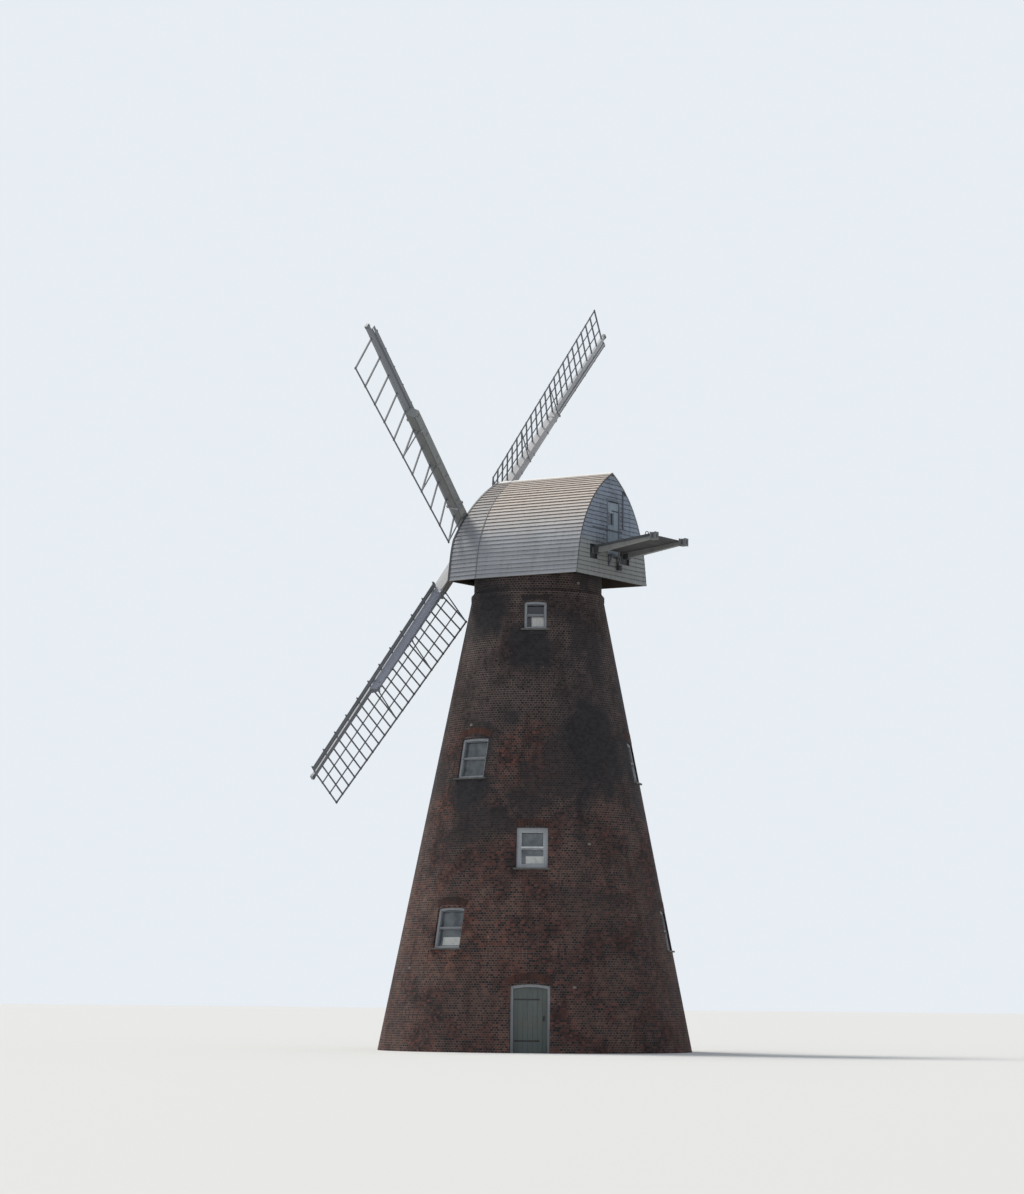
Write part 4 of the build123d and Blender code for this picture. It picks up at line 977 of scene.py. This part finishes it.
def board_along(batch, place, ends, across, depth):
    """Board beside the whip; across counts from the whip's edge, depth from the leading board's middle."""
    corners = []
    for along in ends:
        edge, middle = whip_section(along)
        centre = middle - BAR_DEPTH / 2
        for y, z in ((0, 0), (1, 0), (1, 1), (0, 1)):
            corners.append(place(along, edge + across[y], centre + depth[z]))
    batch.hull(corners)


def lead_boards():
    """Facing on the back of each leading board, paler as a painted sheen on the sunlit arm, and a second board
    between it and the whip.
    """
    pale, faces, inner = Batch(), Batch(), Batch()
    half = LEAD_THICK / 2
    for (turn, back), ends in zip(SAILS, BOARD_ENDS):
        place = on_sail(turn, back)
        # Paler facing, a painted sheen, on the sunlit arm; the darker facing on the others
        face, lip = (pale, 0.055) if turn == SUNLIT_TURN else (faces, 0.025)
        across = (LEAD_GAP + 0.025, LEAD_GAP + LEAD_WIDTH - lip)
        board_along(face, place, ends, across, (-half - 0.006, -half + 0.002))
        start = -0.01 if back else 0.65 * LEAD_GAP
        board_along(inner, place, ends, (start, LEAD_GAP + 0.004), (-half, half))
    pale.make("leading_board_face_sunlit", SUNLIT_BOARD, "sails", "weathered_grey")
    faces.make("leading_board_faces", BOARD, "sails", "weathered_grey")
    inner.make("inner_leading_boards", LATTICE, "sails", "weathered_grey")


# Fan stage, the same named values as in part.py

FAN_BEAMS_X, BEAM_HALF = (1.05, -0.85), 0.1
BEAM_TOP_Z, BEAM_SLOPE, UNDER_Z, UNDER_SLOPE = 16.365, 0.1214, 16.165, 0.165
BEAM_END_Y = 4.96
EYE_RADIUS, EYE_BAR = 0.06, 0.014
BLOCK_LENGTHS, BLOCK_HALF, BLOCK_Z = (0.205, 0.235), 0.115, (16.475, 16.71)


def beam_top(y, above=0.0):
    """Height above the fan beams' upper face."""
    return BEAM_TOP_Z + (y - TAIL_Y) * BEAM_SLOPE + above


def beam_under(y, above=0.0):
    """Height above the fan beams' underside."""
    return UNDER_Z + (y - TAIL_Y) * UNDER_SLOPE + above


def sloping(batch, x, y, low, high):
    """Board along the stage between two bounds that rise with it, each a height and what is added to it."""
    corners = []
    for at in y:
        foot, head = (line(at, above) for line, above in (low, high))
        corners += [Vector((x[0], at, foot)), Vector((x[1], at, foot)),
                    Vector((x[1], at, head)), Vector((x[0], at, head))]
    batch.hull(corners)


def fan_stage():
    """Dark edge boards, dark sleeves round the beam roots, an eye on the deck and dark patches on the post
    blocks that stand for their sockets, painted shade in the holes.
    """
    dark, eye, lips = Batch(), Batch(), Batch()
    for sense, x in zip((1, -1), FAN_BEAMS_X):
        outer = x + sense * (BEAM_HALF + 0.022)
        edge = tuple(sorted((outer - sense * 0.024, outer)))
        sloping(dark, edge, (TAIL_Y + 0.002, BEAM_END_Y), (beam_top, -0.035), (beam_top, 0.052))
        # Dark sleeves round the beams' roots at the gable
        root = (x - BEAM_HALF - 0.006, x + BEAM_HALF + 0.006)
        sloping(dark, root, (TAIL_Y - 0.01, TAIL_Y + 0.17), (beam_under, -0.012), (beam_top, -0.03))
    for x, length in zip(FAN_BEAMS_X, BLOCK_LENGTHS):
        near, far = BEAM_END_Y, BEAM_END_Y + length
        middle = (near + far) / 2
        # Thin dark plates on the post blocks for their sockets, painted shade in the holes
        for side in (-1, 1):
            face = x + side * BLOCK_HALF
            depth = tuple(sorted((face, face + side * 0.006)))
            dark.box(straight, depth, (middle - 0.035, middle + 0.035), (BLOCK_Z[0] + 0.05, BLOCK_Z[1] - 0.05))
        dark.box(straight, (x - 0.04, x + 0.04), (far, far + 0.006), (BLOCK_Z[0] + 0.06, BLOCK_Z[1] - 0.06))
        top = (BLOCK_Z[1], BLOCK_Z[1] + 0.012)
        for y in ((near - 0.002, near + 0.03), (far - 0.03, far + 0.004)):
            lips.box(straight, (x - BLOCK_HALF - 0.004, x + BLOCK_HALF + 0.004), y, top)
    centre = Vector((FAN_BEAMS_X[0], BEAM_END_Y - 0.17, beam_top(BEAM_END_Y - 0.17, 0.1)))
    ring = [centre + Vector((0, cos(a), sin(a))) * EYE_RADIUS for a in (pi * i / 4 for i in range(8))]
    for start, end in zip(ring, ring[1:] + ring[:1]):
        eye.rod(start, end, EYE_BAR, 6)
    dark.make("stage_dark_boards", DARK_EDGE, "cap", "dark_planks")
    lips.make("block_lips", DARK_EDGE, "cap", "weathered_grey")
    eye.make("deck_eye", IRON, "cap", "iron")


weatherboards()
gable_boards()
head_boards()
gable_details()
sashes()
ground_doors()
stocks()
sail_iron()
lead_boards()
fan_stage()


# Stage, lights and camera

def stage_floor():
    """Plain pale floor, far wider than the mill and just under its foot."""
    size = 400.0
    mesh = bpy.data.meshes.new("floor")
    mesh.from_pydata([(-size, -size, 0), (size, -size, 0), (size, size, 0), (-size, size, 0)], [],
                     [(0, 1, 2, 3)])
    mesh.materials.append(Graph("pale_floor").surface((0.62, 0.625, 0.625), 0.9))
    thing = linked("floor", mesh)
    thing.location.z = -0.002


def pale_world():
    """Soft light from all round and a pale backdrop for the camera, metal and glass."""
    world = bpy.data.worlds.new("studio")
    bpy.context.scene.world = world
    world.use_nodes = True
    nodes, links = world.node_tree.nodes, world.node_tree.links
    nodes.clear()
    paths, blend = nodes.new("ShaderNodeLightPath"), nodes.new("ShaderNodeMixShader")
    seen = paths.outputs["Is Camera Ray"]
    for ray in ("Is Glossy Ray", "Is Transmission Ray"):
        either = nodes.new("ShaderNodeMath")
        either.operation = "MAXIMUM"
        links.new(seen, either.inputs[0])
        links.new(paths.outputs[ray], either.inputs[1])
        seen = either.outputs[0]
    links.new(seen, blend.inputs[0])
    for place, colour, strength in ((1, (0.86, 0.92, 1.0, 1.0), 0.43), (2, (0.8, 0.85, 0.9, 1.0), 1.0)):
        light = nodes.new("ShaderNodeBackground")
        light.inputs[0].default_value = colour
        light.inputs[1].default_value = strength
        links.new(light.outputs[0], blend.inputs[place])
    links.new(blend.outputs[0], nodes.new("ShaderNodeOutputWorld").inputs[0])


def sun(name, towards, strength, spread, colour):
    """Broad lamp that shines from a direction."""
    data = bpy.data.lights.new(name, "SUN")
    data.energy, data.angle, data.color = strength, radians(spread), colour
    thing = linked(name, data)
    thing.rotation_mode = "QUATERNION"
    thing.rotation_quaternion = Vector(towards).to_track_quat("Z", "Y")


def camera():
    """The photograph's view, from low behind the cap's left side."""
    focal, height = 3495.0, 1194.0  # in pixels of the photograph
    distance, offset, eye = 115.596, 0.8617, 1.7
    pitch, roll = 0.1144, 0.0078
    ahead = Vector((-0.845, -0.534, 0)).normalized()
    right = Vector((-0.534, 0.845, 0)).normalized()
    forward = ahead * cos(pitch) + Vector((0, 0, sin(pitch)))
    up = Vector((0, 0, cos(pitch))) - ahead * sin(pitch)
    across = right * cos(roll) + up * sin(roll)
    above = up * cos(roll) - right * sin(roll)
    data = bpy.data.cameras.new("camera")
    data.sensor_width = 36.0
    data.lens = focal / height * data.sensor_width
    data.clip_end = 1000.0
    thing = linked("camera", data)
    place = -right * offset - ahead * distance + Vector((0, 0, eye))
    turn = Matrix((across, above, -forward)).transposed()
    thing.matrix_world = Matrix.Translation(place) @ turn.to_4x4()
    bpy.context.scene.camera = thing


stage_floor()
pale_world()
sun("key", (-0.1, -0.56, 0.82), 3.1, 16.0, (1.0, 0.95, 0.87))
sun("fill", (0.75, 0.35, 0.55), 0.3, 70.0, (0.92, 0.96, 1.0))
camera()
bpy.context.scene.view_settings.view_transform = "Standard"
